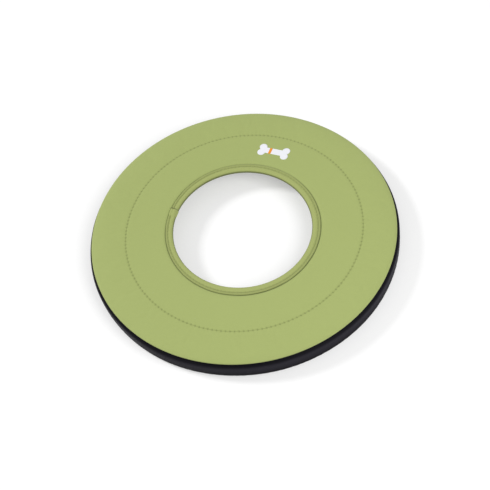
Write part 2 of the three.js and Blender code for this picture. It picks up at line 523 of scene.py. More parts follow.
# ------------------------------------------------------------------------------------ shader wiring
class Wiring:
    """Adds nodes to one shader tree and joins them."""

    def __init__(self, tree: bpy.types.NodeTree) -> None:
        """Starts on a tree.

        Args:
            tree: a material's tree or a node group.
        """
        self.tree = tree

    def node(self, kind: str, **settings: Any) -> bpy.types.Node:
        """Adds a node.

        Args:
            kind: the node's type.
            **settings: its properties.

        Returns:
            The node.
        """
        made = self.tree.nodes.new(kind)
        for key, value in settings.items():
            setattr(made, key, value)
        return made

    def feed(self, socket: bpy.types.NodeSocket, value: Any) -> None:
        """Links a socket's value, or sets it.

        Args:
            socket: the input.
            value: another node's output, or a plain value.
        """
        if isinstance(value, bpy.types.NodeSocket):
            self.tree.links.new(value, socket)
        else:
            socket.default_value = value

    def math(self, operation: str, *values: Any) -> bpy.types.NodeSocket:
        """Adds a Math node.

        Args:
            operation: the node's operation.
            *values: its inputs, each a number or a socket.

        Returns:
            Its output.
        """
        made = self.node("ShaderNodeMath", operation=operation)
        for socket, value in zip(made.inputs, values):
            self.feed(socket, value)
        return made.outputs[0]

    def parts(self, vector: bpy.types.NodeSocket) -> tuple[bpy.types.NodeSocket, ...]:
        """Splits a vector.

        Args:
            vector: the vector's socket.

        Returns:
            Its X, Y and Z.
        """
        made = self.node("ShaderNodeSeparateXYZ")
        self.feed(made.inputs[0], vector)
        return tuple(made.outputs)

    def spread(
        self, value: Any, low: float, high: float, to_low: float = 0.0, to_high: float = 1.0
    ) -> bpy.types.NodeSocket:
        """Maps a value from one range to another, held at its ends.

        Args:
            value: a number or a socket.
            low: start of its range.
            high: end of its range.
            to_low: result at the start.
            to_high: result at the end.

        Returns:
            The result.
        """
        made = self.node("ShaderNodeMapRange")
        for socket, number in zip(made.inputs, (value, low, high, to_low, to_high)):
            self.feed(socket, number)
        return made.outputs[0]

    def noise(
        self, vector: Any, scale: float, detail: float = 3.0, rough: float = 0.5
    ) -> bpy.types.NodeSocket:
        """Adds a noise.

        Args:
            vector: the place it reads.
            scale: in waves per metre.
            detail: octaves.
            rough: strength of the finer octaves.

        Returns:
            Its value, from 0 to 1.
        """
        made = self.node("ShaderNodeTexNoise")
        self.feed(made.inputs["Vector"], vector)
        for name, number in (("Scale", scale), ("Detail", detail), ("Roughness", rough)):
            self.feed(made.inputs[name], number)
        return made.outputs["Fac"]

    def blend(self, factor: Any, first: Any, second: Any, mode: str = "MIX") -> bpy.types.NodeSocket:
        """Mixes two colours.

        Args:
            factor: how much of the second.
            first: a colour or a socket.
            second: a colour or a socket.
            mode: the way of mixing.

        Returns:
            The mixed colour.
        """
        made = self.node("ShaderNodeMix", data_type="RGBA", blend_type=mode)
        ends = [s for s in made.inputs if s.type == "RGBA"]
        self.feed(made.inputs[0], factor)
        for socket, colour in zip(ends, (first, second)):
            self.feed(socket, colour if isinstance(colour, bpy.types.NodeSocket) else (*colour, 1.0))
        return next(s for s in made.outputs if s.type == "RGBA")

    def group(self, tree: bpy.types.NodeTree, **values: Any) -> dict[str, bpy.types.NodeSocket]:
        """Places a node group.

        Args:
            tree: the group.
            **values: its inputs by name, with _ for a space.

        Returns:
            Its outputs by name.
        """
        made = self.node("ShaderNodeGroup", node_tree=tree)
        for key, value in values.items():
            self.feed(made.inputs[key.replace("_", " ")], value)
        return {s.name: s for s in made.outputs}


def new_group(
    name: str, inputs: dict[str, tuple[str, Any]], outputs: Sequence[str]
) -> tuple[Wiring, bpy.types.Node, bpy.types.Node]:
    """Starts a shader node group.

    Args:
        name: the group's name.
        inputs: name to (Float or Vector, default).
        outputs: names of its values.

    Returns:
        Its wiring, its input node and its output node.
    """
    tree = bpy.data.node_groups.new(name, "ShaderNodeTree")
    for label, (kind, default) in inputs.items():
        socket = tree.interface.new_socket(name=label, in_out="INPUT", socket_type=f"NodeSocket{kind}")
        if default is not None:
            socket.default_value = default
    for label in outputs:
        tree.interface.new_socket(name=label, in_out="OUTPUT", socket_type="NodeSocketFloat")
    wiring = Wiring(tree)
    return wiring, wiring.node("NodeGroupInput"), wiring.node("NodeGroupOutput")


class ShaderEffects:
    """Node groups that more than one finish uses, each built once."""

    _made: ClassVar[dict[str, bpy.types.NodeTree]] = {}

    @classmethod
    def get(cls, name: str, build: Callable[[], bpy.types.NodeTree]) -> bpy.types.NodeTree:
        """A group by name, built the first time it is asked for.

        Args:
            name: the group's name.
            build: makes the group.

        Returns:
            The group.
        """
        if name not in cls._made:
            cls._made[name] = build()
        return cls._made[name]

    @classmethod
    def weave(cls) -> bpy.types.NodeTree:
        """Plain weave: warp and weft threads that cross over and under."""
        return cls.get("plain_weave", cls._weave)

    @classmethod
    def tone(cls) -> bpy.types.NodeTree:
        """Slow changes of tone in dyed cloth, and fine lint."""
        return cls.get("cloth_tone", cls._tone)

    @classmethod
    def ply(cls) -> bpy.types.NodeTree:
        """Twisted plies of a sewing thread that runs round the ring."""
        return cls.get("thread_ply", cls._ply)

    @staticmethod
    def _weave() -> bpy.types.NodeTree:
        """Builds the weave group.

        Returns:
            A group with Vector and Pitch in, and Height, Over and Gap out, each from 0 to 1.
        """
        w, given, out = new_group(
            "plain_weave", {"Vector": ("Vector", None), "Pitch": ("Float", 0.0005)}, ("Height", "Over", "Gap")
        )
        wobble = w.noise(given.outputs["Vector"], 900.0, 1.0)
        x, y, _ = w.parts(given.outputs["Vector"])
        sway = w.math("MULTIPLY", w.math("SUBTRACT", wobble, 0.5), 0.22)
        a, b = (w.math("ADD", w.math("DIVIDE", k, given.outputs["Pitch"]), sway) for k in (x, y))
        over = w.math("MODULO", w.math("ADD", w.math("FLOOR", a), w.math("FLOOR", b)), 2.0)
        over = w.math("ABSOLUTE", over)
        under = w.math("SUBTRACT", 1.0, over)
        ridge = [w.math("ABSOLUTE", w.math("SINE", w.math("MULTIPLY", k, math.pi))) for k in (a, b)]
        across, lengthwise = (
            w.math("ADD", w.math("MULTIPLY", first, under), w.math("MULTIPLY", second, over))
            for first, second in (ridge, ridge[::-1])
        )
        crown = w.math("MULTIPLY_ADD", lengthwise, 0.45, 0.55)
        height = w.math("MULTIPLY", w.math("POWER", across, 0.6), crown)
        gap = w.math("SUBTRACT", 1.0, w.spread(w.math("MAXIMUM", *ridge), 0.0, 0.55))
        for socket, value in zip(out.inputs, (height, over, gap)):
            w.feed(socket, value)
        return w.tree

    @staticmethod
    def _tone() -> bpy.types.NodeTree:
        """Builds the tone group.

        Returns:
            A group with Vector in, and Slow and Lint out, each from 0 to 1.
        """
        w, given, out = new_group("cloth_tone", {"Vector": ("Vector", None)}, ("Slow", "Lint"))
        slow = w.noise(given.outputs["Vector"], 14.0, 4.0, 0.55)
        stretch = w.node("ShaderNodeMapping")
        w.feed(stretch.inputs["Vector"], given.outputs["Vector"])
        stretch.inputs["Scale"].default_value = (1.0, 2.6, 1.0)
        speck = w.noise(stretch.outputs["Vector"], 420.0, 2.0, 0.6)
        w.feed(out.inputs["Slow"], w.spread(slow, 0.3, 0.7))
        w.feed(out.inputs["Lint"], w.spread(speck, 0.68, 0.8))
        return w.tree

    @staticmethod
    def _ply() -> bpy.types.NodeTree:
        """Builds the thread group.

        Returns:
            A group with Vector and Lay in, and Height out, from 0 to 1.
        """
        w, given, out = new_group(
            "thread_ply", {"Vector": ("Vector", None), "Lay": ("Float", 0.0007)}, ("Height",)
        )
        x, y, z = w.parts(given.outputs["Vector"])
        radius = w.math("SQRT", w.math("ADD", w.math("MULTIPLY", x, x), w.math("MULTIPLY", y, y)))
        around = w.math("MULTIPLY", w.math("ARCTAN2", y, x), radius)
        slant = w.math("ADD", around, w.math("MULTIPLY", w.math("ADD", z, radius), 0.9))
        wave = w.math("SINE", w.math("MULTIPLY", w.math("DIVIDE", slant, given.outputs["Lay"]), TURN))
        w.feed(out.inputs["Height"], w.math("MULTIPLY_ADD", wave, 0.5, 0.5))
        return w.tree


# ------------------------------------------------------------------------------------ finishes
class Relief(Enum):
    """What a dark coated cloth shows through its coating."""

    WOVEN = "woven"
    PEBBLED = "pebbled"


@dataclass(frozen=True)
class Finish:
    """A finish: its name, colour and the gloss that is the same all over.

    Attributes:
        name: the material's name.
        colour: its main colour.
        roughness: of its surface.
        specular: strength of its shine.
        sheen: strength of its fuzz.
    """

    name: str
    colour: Colour
    roughness: float = 0.8
    specular: float = 0.35
    sheen: float = 0.0

    SHEEN_ROUGHNESS: ClassVar[float] = 0.45
    LINT: ClassVar[Colour] = (0.6, 0.6, 0.56)
    DARK_LINT: ClassVar[Colour] = (0.25, 0.25, 0.25)

    def start(self) -> tuple[bpy.types.Material, Wiring, bpy.types.Node]:
        """Makes the material with its Principled shader.

        Returns:
            The material, its wiring and the shader node.
        """
        made = bpy.data.materials.new(self.name)
        made.use_nodes = True
        made.node_tree.nodes.clear()
        w = Wiring(made.node_tree)
        shader, out = w.node("ShaderNodeBsdfPrincipled"), w.node("ShaderNodeOutputMaterial")
        w.tree.links.new(shader.outputs["BSDF"], out.inputs["Surface"])
        shader.inputs["Base Color"].default_value = (*self.colour, 1.0)
        shader.inputs["Roughness"].default_value = self.roughness
        shader.inputs["Specular IOR Level"].default_value = self.specular
        shader.inputs["Sheen Weight"].default_value = self.sheen
        shader.inputs["Sheen Roughness"].default_value = self.SHEEN_ROUGHNESS
        return made, w, shader

    def tinted(self, factor: float) -> Colour:
        """The finish's colour, lighter or darker."""
        return tuple(min(1.0, c * factor) for c in self.colour)

    @staticmethod
    def relief(w: Wiring, shader: bpy.types.Node, height: Any, depth: float, under: Any = None) -> Any:
        """Puts a height of some metres on the surface.

        Args:
            w: the material's wiring.
            shader: the shader that it goes to.
            height: from 0 to 1.
            depth: height of 1, in metres.
            under: the normal of a coarser relief below it.

        Returns:
            The new normal.
        """
        bump = w.node("ShaderNodeBump")
        bump.inputs["Strength"].default_value = 1.0
        bump.inputs["Distance"].default_value = depth
        w.feed(bump.inputs["Height"], height)
        if under is not None:
            w.feed(bump.inputs["Normal"], under)
        w.feed(shader.inputs["Normal"], bump.outputs["Normal"])
        return bump.outputs["Normal"]


@dataclass(frozen=True)
class WovenFinish(Finish):
    """Dyed woven cloth.

    Attributes:
        pitch: width of a thread, in metres.
        depth: height of the weave, in metres.
        painted_shade: paints shade into the colour where the piece marks it: needle holes, creases and folds.
    """

    pitch: float = 0.5 * MM
    depth: float = 0.05 * MM
    painted_shade: bool = False

    def material(self) -> bpy.types.Material:
        """The cloth's material, with its weave on the piece's own map.

        Returns:
            The new material.
        """
        made, w, shader = self.start()
        place = w.node("ShaderNodeUVMap", uv_map="cloth").outputs["UV"]
        local = w.node("ShaderNodeTexCoord").outputs["Object"]
        cloth = w.group(ShaderEffects.weave(), Vector=place, Pitch=self.pitch)
        tone = w.group(ShaderEffects.tone(), Vector=local)
        # Painted shade: darker where the threads dip.
        colour = w.blend(cloth["Height"], self.tinted(0.86), self.tinted(1.06))
        colour = w.blend(w.math("MULTIPLY", cloth["Over"], 0.35), colour, self.tinted(0.96))
        # Painted shade in the gaps between the threads.
        colour = w.blend(w.math("MULTIPLY", cloth["Gap"], 0.4), colour, self.tinted(0.45))
        colour = w.blend(w.math("MULTIPLY", tone["Slow"], 0.3), colour, self.tinted(0.93))
        colour = w.blend(w.math("MULTIPLY", tone["Lint"], 0.12), colour, self.LINT)
        if self.painted_shade:
            # Painted shade: the piece's 'needle' marks darken the colour in holes, creases and folds.
            mark = w.node("ShaderNodeAttribute", attribute_name="needle")
            colour = w.blend(mark.outputs["Fac"], colour, self.tinted(0.3))
        w.feed(shader.inputs["Base Color"], colour)
        rough = w.spread(cloth["Height"], 0.0, 1.0, self.roughness + 0.1, self.roughness - 0.05)
        w.feed(shader.inputs["Roughness"], rough)
        slow = w.noise(local, 260.0)
        soft = self.relief(w, shader, slow, 0.05 * MM)
        self.relief(w, shader, cloth["Height"], self.depth, soft)
        return made


@dataclass(frozen=True)
class CoatedFinish(Finish):
    """Dark coated cloth with a soft sheen.

    Attributes:
        surface: what shows through the coating.
        pitch: width of a thread or a pebble, in metres.
        depth: height of the relief, in metres.
        painted_shade_marks: paints shade into the colour where the piece marks it.
    """

    surface: Relief = Relief.WOVEN
    pitch: float = 0.55 * MM
    depth: float = 0.03 * MM
    painted_shade_marks: bool = False

    def material(self) -> bpy.types.Material:
        """The coated cloth's material: scuffs, a fine relief and a coat that varies.

        Returns:
            The new material.
        """
        made, w, shader = self.start()
        local = w.node("ShaderNodeTexCoord").outputs["Object"]
        place = w.node("ShaderNodeUVMap", uv_map="cloth").outputs["UV"]
        tone = w.group(ShaderEffects.tone(), Vector=local)
        scuff = w.spread(w.noise(local, 55.0, 5.0, 0.6), 0.55, 0.75)
        colour = w.blend(w.math("MULTIPLY", tone["Slow"], 0.5), self.colour, self.tinted(1.25))
        colour = w.blend(w.math("MULTIPLY", scuff, 0.3), colour, self.tinted(1.7))
        colour = w.blend(w.math("MULTIPLY", tone["Lint"], 0.06), colour, self.DARK_LINT)
        if self.painted_shade_marks:
            # Painted shade from the piece's marks.
            mark = w.node("ShaderNodeAttribute", attribute_name="needle")
            colour = w.blend(mark.outputs["Fac"], colour, self.tinted(0.3))
        w.feed(shader.inputs["Base Color"], colour)
        rough = w.math("MULTIPLY_ADD", scuff, 0.12, self.roughness)
        w.feed(shader.inputs["Roughness"], w.math("MULTIPLY_ADD", tone["Slow"], 0.06, rough))
        if self.surface is Relief.WOVEN:
            height = w.group(ShaderEffects.weave(), Vector=place, Pitch=self.pitch)["Height"]
        else:
            cells = w.node("ShaderNodeTexVoronoi", feature="SMOOTH_F1")
            w.feed(cells.inputs["Vector"], local)
            cells.inputs["Scale"].default_value = 1.0 / self.pitch
            height = w.spread(cells.outputs["Distance"], 0.0, 0.7, 1.0, 0.0)
        soft = self.relief(w, shader, w.noise(local, 180.0), 0.08 * MM)
        self.relief(w, shader, height, self.depth, soft)
        return made


@dataclass(frozen=True)
class ThreadFinish(Finish):
    """Twisted sewing thread.

    Attributes:
        lay: length of one turn of the twist, in metres.
    """

    lay: float = 0.7 * MM

    def material(self) -> bpy.types.Material:
        """The thread's material, with its twist.

        Returns:
            The new material.
        """
        made, w, shader = self.start()
        local = w.node("ShaderNodeTexCoord").outputs["Object"]
        twist = w.group(ShaderEffects.ply(), Vector=local, Lay=self.lay)["Height"]
        # Painted shade: darker in the grooves between the plies.
        w.feed(shader.inputs["Base Color"], w.blend(twist, self.tinted(0.8), self.tinted(1.08)))
        w.feed(shader.inputs["Roughness"], w.spread(twist, 0.0, 1.0, self.roughness + 0.12, self.roughness))
        self.relief(w, shader, twist, 0.06 * MM)
        return made


@dataclass(frozen=True)
class FoamFinish(Finish):
    """Closed-cell foam.

    Attributes:
        cell: size of a cell, in metres.
    """

    cell: float = 0.9 * MM

    def material(self) -> bpy.types.Material:
        """The foam's material, with cut cells.

        Returns:
            The new material.
        """
        made, w, shader = self.start()
        local = w.node("ShaderNodeTexCoord").outputs["Object"]
        cells = w.node("ShaderNodeTexVoronoi")
        w.feed(cells.inputs["Vector"], local)
        cells.inputs["Scale"].default_value = 1.0 / self.cell
        wall = w.spread(cells.outputs["Distance"], 0.1, 0.6)
        # Painted shade: darker in the hollows of the cut cells.
        w.feed(shader.inputs["Base Color"], w.blend(wall, self.tinted(0.7), self.tinted(1.1)))
        w.feed(shader.inputs["Roughness"], w.spread(wall, 0.0, 1.0, 0.95, self.roughness))
        self.relief(w, shader, wall, 0.12 * MM)
        return made


@dataclass(frozen=True)
class PrintFinish(Finish):
    """Heat-pressed print film that follows the weave below it.

    Attributes:
        pitch: width of a thread of that weave, in metres.
    """

    pitch: float = 0.5 * MM

    def material(self) -> bpy.types.Material:
        """The film's material: the cloth's relief, softened, and worn specks.

        Returns:
            The new material.
        """
        made, w, shader = self.start()
        local = w.node("ShaderNodeTexCoord").outputs["Object"]
        place = w.node("ShaderNodeUVMap", uv_map="cloth").outputs["UV"]
        cloth = w.group(ShaderEffects.weave(), Vector=place, Pitch=self.pitch)
        worn = w.spread(w.noise(local, 700.0, 3.0, 0.6), 0.62, 0.8)
        # Painted shade in the gaps of the weave under the film.
        colour = w.blend(w.math("MULTIPLY", cloth["Gap"], 0.25), self.colour, self.tinted(0.75))
        w.feed(shader.inputs["Base Color"], w.blend(w.math("MULTIPLY", worn, 0.15), colour, self.tinted(0.8)))
        w.feed(shader.inputs["Roughness"], w.spread(worn, 0.0, 1.0, self.roughness, self.roughness + 0.2))
        self.relief(w, shader, cloth["Height"], 0.02 * MM)
        return made


@dataclass(frozen=True)
class FloorFinish(Finish):
    """Smooth pale studio floor of translucent acrylic, lit from below.

    Attributes:
        glow: strength of the light from below.
    """

    glow: float = 0.0

    def material(self) -> bpy.types.Material:
        """The floor's material, with a faint mottle.

        Returns:
            The new material.
        """
        made, w, shader = self.start()
        local = w.node("ShaderNodeTexCoord").outputs["Object"]
        mottle = w.noise(local, 3.0, 2.0)
        w.feed(shader.inputs["Base Color"], w.blend(mottle, self.colour, self.tinted(0.995)))
        shader.inputs["Emission Color"].default_value = (1.0, 1.0, 1.0, 1.0)
        shader.inputs["Emission Strength"].default_value = self.glow
        return made


FACE_CLOTH = WovenFinish("face_cloth", (0.378, 0.441, 0.152), 0.82, 0.25, 0.12, painted_shade=True)
TAPE_CLOTH = WovenFinish(
    "binding_cloth", (0.375, 0.425, 0.145), 0.8, 0.25, 0.12, pitch=0.42 * MM, painted_shade=True
)
# The band's colour carries painted shade in its upper seam and towards the ground.
BAND_CLOTH = CoatedFinish("band_cloth", (0.0195, 0.0185, 0.0242), 0.45, 0.025, painted_shade_marks=True)
FOOT_CLOTH = CoatedFinish(
    "foot_cloth", (0.01, 0.01, 0.0125), 0.55, 0.22, surface=Relief.PEBBLED, pitch=0.9 * MM
)
LINING_CLOTH = WovenFinish("lining_cloth", (0.014, 0.014, 0.017), 0.8, 0.25, 0.08, painted_shade=True)
GREEN_THREAD = ThreadFinish("green_thread", (0.385, 0.44, 0.15), 0.65, 0.25)
DARK_THREAD = ThreadFinish("dark_thread", (0.018, 0.018, 0.021), 0.6, 0.3)
FOAM = FoamFinish("closed_cell_foam", (0.09, 0.09, 0.1), 0.85)
WHITE_PRINT = PrintFinish("white_print", (0.83, 0.835, 0.885), 0.5, 0.3)
ORANGE_PRINT = PrintFinish("orange_print", (0.86, 0.3, 0.02), 0.5, 0.3)
FLOOR = FloorFinish("studio_floor", (0.6, 0.6, 0.6), 0.9, 0.1, glow=0.42)


def material_of(finish: Finish) -> bpy.types.Material:
    """A finish's material, made the first time it is asked for."""
    return bpy.data.materials.get(finish.name) or finish.material()


def dress(piece: bpy.types.Object, finish: Finish) -> None:
    """Gives a piece one finish."""
    piece.data.materials.clear()
    piece.data.materials.append(material_of(finish))


# ------------------------------------------------------------------------------------ the padded rim
@dataclass
class Cut:
    """A piece of cloth as it is cut and sewn: its section, and where its seams are.

    Attributes:
        corners: (radius, height) in millimetres, along the section.
        seams: numbers of the two corners between which the cloth is free of seams.
        spacing: rule for the gaps between rows.
    """

    corners: Line
    seams: tuple[int, int]
    spacing: Spacing

    STEPS: ClassVar[int] = 24

    def line(self) -> np.ndarray:
        """The dense line of the section, in metres."""
        return dense_line(self.corners, self.STEPS)

    def rows(self) -> tuple[np.ndarray, np.ndarray, np.ndarray]:
        """Rows of the fine mesh.

        Returns:
            The rows' points, their distance along the section, and their place from 0 at one seam to 1 at the
            other.
        """
        line = self.line()
        at, along = spaced_rows(line, self.spacing)
        far = arc_length(line)
        first, last = (far[k * self.STEPS] for k in self.seams)
        return at, along, np.clip((along - first) / (last - first), 0.0, 1.0)

    def free_rows(self, gap: float) -> np.ndarray:
        """Rows between the seams.

        Args:
            gap: about how far apart, in metres.

        Returns:
            The rows' points.
        """
        first, last = (k * self.STEPS for k in self.seams)
        part = self.line()[first : last + 1]
        return spaced_rows(part, lambda r: np.full_like(r, gap))[0]


FACE_CUT = Cut(
    [
        (59.4, 16.8), (61.6, 16.85), (63.5, 16.85), (63.95, 16.92), (64.4, 17.2), (65.2, 17.48),
        (67.0, 17.58), (70.0, 17.6), (80.0, 17.6), (90.0, 17.6), (94.2, 17.57), (95.3, 17.47),
        (96.0, 17.38), (96.7, 17.5), (98.2, 17.74), (101.5, 17.98), (107.0, 18.1), (112.5, 17.88),
        (117.0, 17.35), (120.5, 16.62), (122.4, 15.98), (123.1, 15.45), (122.95, 15.0),
        (122.2, 14.85),
    ],
    (12, 21),
    finer_near(1.75, 0.45, (64.6, 1.7), (96.0, 2.2), (123.2, 1.6)),
)
BAND_CUT = Cut(
    [
        (121.9, 14.7), (122.5, 14.6), (122.95, 14.2), (123.2, 13.75), (123.65, 13.45),
        (124.35, 12.95), (124.85, 11.9), (125.05, 10.2), (124.95, 7.8), (124.7, 5.0),
        (124.35, 2.4), (123.95, 0.95), (123.2, 0.25), (122.2, 0.06), (121.35, 0.3), (121.2, 0.7),
    ],
    (3, 13),
    finer_near(0.8, 0.3, (122.7, 0.9), (121.6, 0.7)),
)
FOOT_CUT = Cut(
    [
        (121.05, 0.75), (120.9, 0.35), (120.1, 0.1), (118.0, 0.06), (112.0, 0.06), (105.0, 0.06),
        (103.0, 0.1), (102.15, 0.35), (102.0, 0.75),
    ],
    (2, 6),
    finer_near(1.4, 0.35, (121.0, 1.2), (102.0, 1.2)),
)
INNER_CUT = Cut(
    [
        (101.85, 0.8), (101.7, 0.35), (101.1, 0.25), (100.5, 0.9), (99.9, 3.2), (99.1, 6.6),
        (98.2, 10.2), (97.5, 12.8), (97.05, 13.9), (96.75, 14.45),
    ],
    (3, 8),
    finer_near(0.85, 0.4, (101.4, 0.6), (96.9, 0.4)),
)
LINING_CUT = Cut(
    [
        (96.9, 14.75), (96.4, 14.72), (96.0, 14.95), (95.4, 14.72), (94.0, 14.6), (85.0, 14.6),
        (75.0, 14.6), (67.0, 14.62), (65.2, 14.85), (64.0, 15.2), (61.6, 15.3), (59.4, 15.35),
    ],
    (2, 9),
    finer_near(1.8, 0.5, (96.0, 1.6), (64.6, 1.6)),
)
TAPE_CUT = Cut(
    [
        (63.2, 15.3), (63.6, 15.12), (63.62, 14.75), (63.2, 14.45), (62.4, 14.42), (61.6, 14.68),
        (60.8, 14.4), (59.9, 14.28), (58.7, 14.35), (57.6, 14.9), (57.0, 15.7), (56.95, 16.5),
        (57.5, 17.35), (58.6, 17.85), (59.9, 17.95), (60.8, 17.82), (61.6, 17.56), (62.4, 17.8),
        (63.2, 17.82), (63.64, 17.55), (63.64, 17.1), (63.2, 16.95),
    ],
    (5, 16),
    finer_near(0.5, 0.4, (61.6, 1.0)),
)


@dataclass
class RimSleeve:
    """The padded rim's closed cover, swollen by its foam in a short cloth simulation.

    The seams hold it, the cloth between them is a little longer than the straight way, and pressure
    pushes it out. It gives each cover piece the small shift of its cloth from the sewn shape.

    Attributes:
        columns: points round the ring.
        gap: gap between the rows, in metres.
        pressure: pressure in the sleeve.
        slack: how much longer the cloth is than its sewn shape.
        steps: frames of the simulation.
        most: the furthest that a point may move, in metres.
        shifts: the shift of each cover piece's rows, once settled.
    """

    columns: int = 288
    gap: float = 2.2 * MM
    pressure: float = 4.0
    slack: float = 0.0015
    steps: int = 18
    most: float = 0.9 * MM
    shifts: dict[str, np.ndarray] = field(default_factory=dict)

    CUTS: ClassVar[dict[str, Cut]] = {
        "face": FACE_CUT,
        "band": BAND_CUT,
        "foot": FOOT_CUT,
        "inner": INNER_CUT,
    }
    COATED_CLOTH: ClassVar[dict[str, float]] = {
        "quality": 7,
        "mass": 0.25,
        "tension_stiffness": 40,
        "compression_stiffness": 40,
        "shear_stiffness": 12,
        "bending_stiffness": 0.6,
    }

    def settle(self) -> None:
        rows = {name: cut.free_rows(self.gap) for name, cut in self.CUTS.items()}
        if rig.quick():
            self.shifts = {name: np.zeros((len(r), self.columns, 2)) for name, r in rows.items()}
            return
        whole = np.vstack(list(rows.values()))
        moved = self._inflate(whole, self._seam_rows(rows)) - whole[:, None, :]
        far = np.linalg.norm(moved, axis=2, keepdims=True)
        moved *= self.most / np.maximum(far, self.most)
        start = 0
        for name, r in rows.items():
            part = moved[start : start + len(r)]
            part[[0, -1]] = 0.0
            self.shifts[name] = part
            start += len(r)

    @staticmethod
    def _seam_rows(rows: dict[str, np.ndarray]) -> list[int]:
        """Finds the rows that are sewn.

        Args:
            rows: the rows of each cover piece, in order.

        Returns:
            Their numbers in the whole sleeve.
        """
        held, start = [], 0
        for r in rows.values():
            held += [start, start + len(r) - 1]
            start += len(r)
        return held

    def _inflate(self, rows: np.ndarray, held: list[int]) -> np.ndarray:
        """Swells the sleeve.

        Args:
            rows: (radius, height) of each row, in metres.
            held: numbers of the sewn rows.

        Returns:
            Radius and height of every point after it settled, as rows by columns by 2.
        """
        radius, height = (np.repeat(rows[:, k : k + 1], self.columns, 1) for k in (0, 1))
        sleeve = ring_object("rim_sleeve", radius, height, closed=True)
        seams = sleeve.vertex_groups.new(name="seams")
        sewn = np.concatenate([np.arange(k * self.columns, (k + 1) * self.columns) for k in held])
        seams.add(sewn.tolist(), 1.0, "REPLACE")
        cloth = sleeve.modifiers.new("swell", "CLOTH")
        for name, value in self.COATED_CLOTH.items():
            setattr(cloth.settings, name, value)
        cloth.settings.shrink_min = -self.slack
        cloth.settings.use_pressure = True
        cloth.settings.uniform_pressure_force = self.pressure
        cloth.settings.vertex_group_mass = "seams"
        cloth.settings.effector_weights.gravity = 0.0
        cloth.point_cache.frame_start, cloth.point_cache.frame_end = 1, self.steps
        scene = bpy.context.scene
        for step in range(1, self.steps + 1):
            scene.frame_set(step)
        seen = sleeve.evaluated_get(bpy.context.evaluated_depsgraph_get()).data
        at = np.empty(len(seen.vertices) * 3, np.float32)
        seen.vertices.foreach_get("co", at)
        at = at.reshape(len(rows), self.columns, 3).astype(float)
        scene.frame_set(1)
        mesh = sleeve.data
        bpy.data.objects.remove(sleeve)
        bpy.data.meshes.remove(mesh)
        return np.stack([np.hypot(at[..., 0], at[..., 1]), at[..., 2]], axis=-1)

    def shift(self, name: str, place: np.ndarray, columns: int) -> np.ndarray:
        """The cloth's shift on a finer grid.

        Args:
            name: which cover piece.
            place: each row's place from 0 at one seam to 1 at the other.
            columns: points in each fine row.

        Returns:
            Changes of radius and height, rows by columns by 2.
        """
        coarse = self.shifts[name]
        at = np.arange(columns) * self.columns / columns
        low = np.floor(at).astype(int) % self.columns
        part = (at - np.floor(at))[None, :, None]
        part = part * part * (3 - 2 * part)
        round_it = coarse[:, low] * (1 - part) + coarse[:, (low + 1) % self.columns] * part
        up = place * (len(coarse) - 1)
        first = np.minimum(np.floor(up).astype(int), len(coarse) - 2)
        share = (up - first)[:, None, None]
        return round_it[first] * (1 - share) + round_it[first + 1] * share


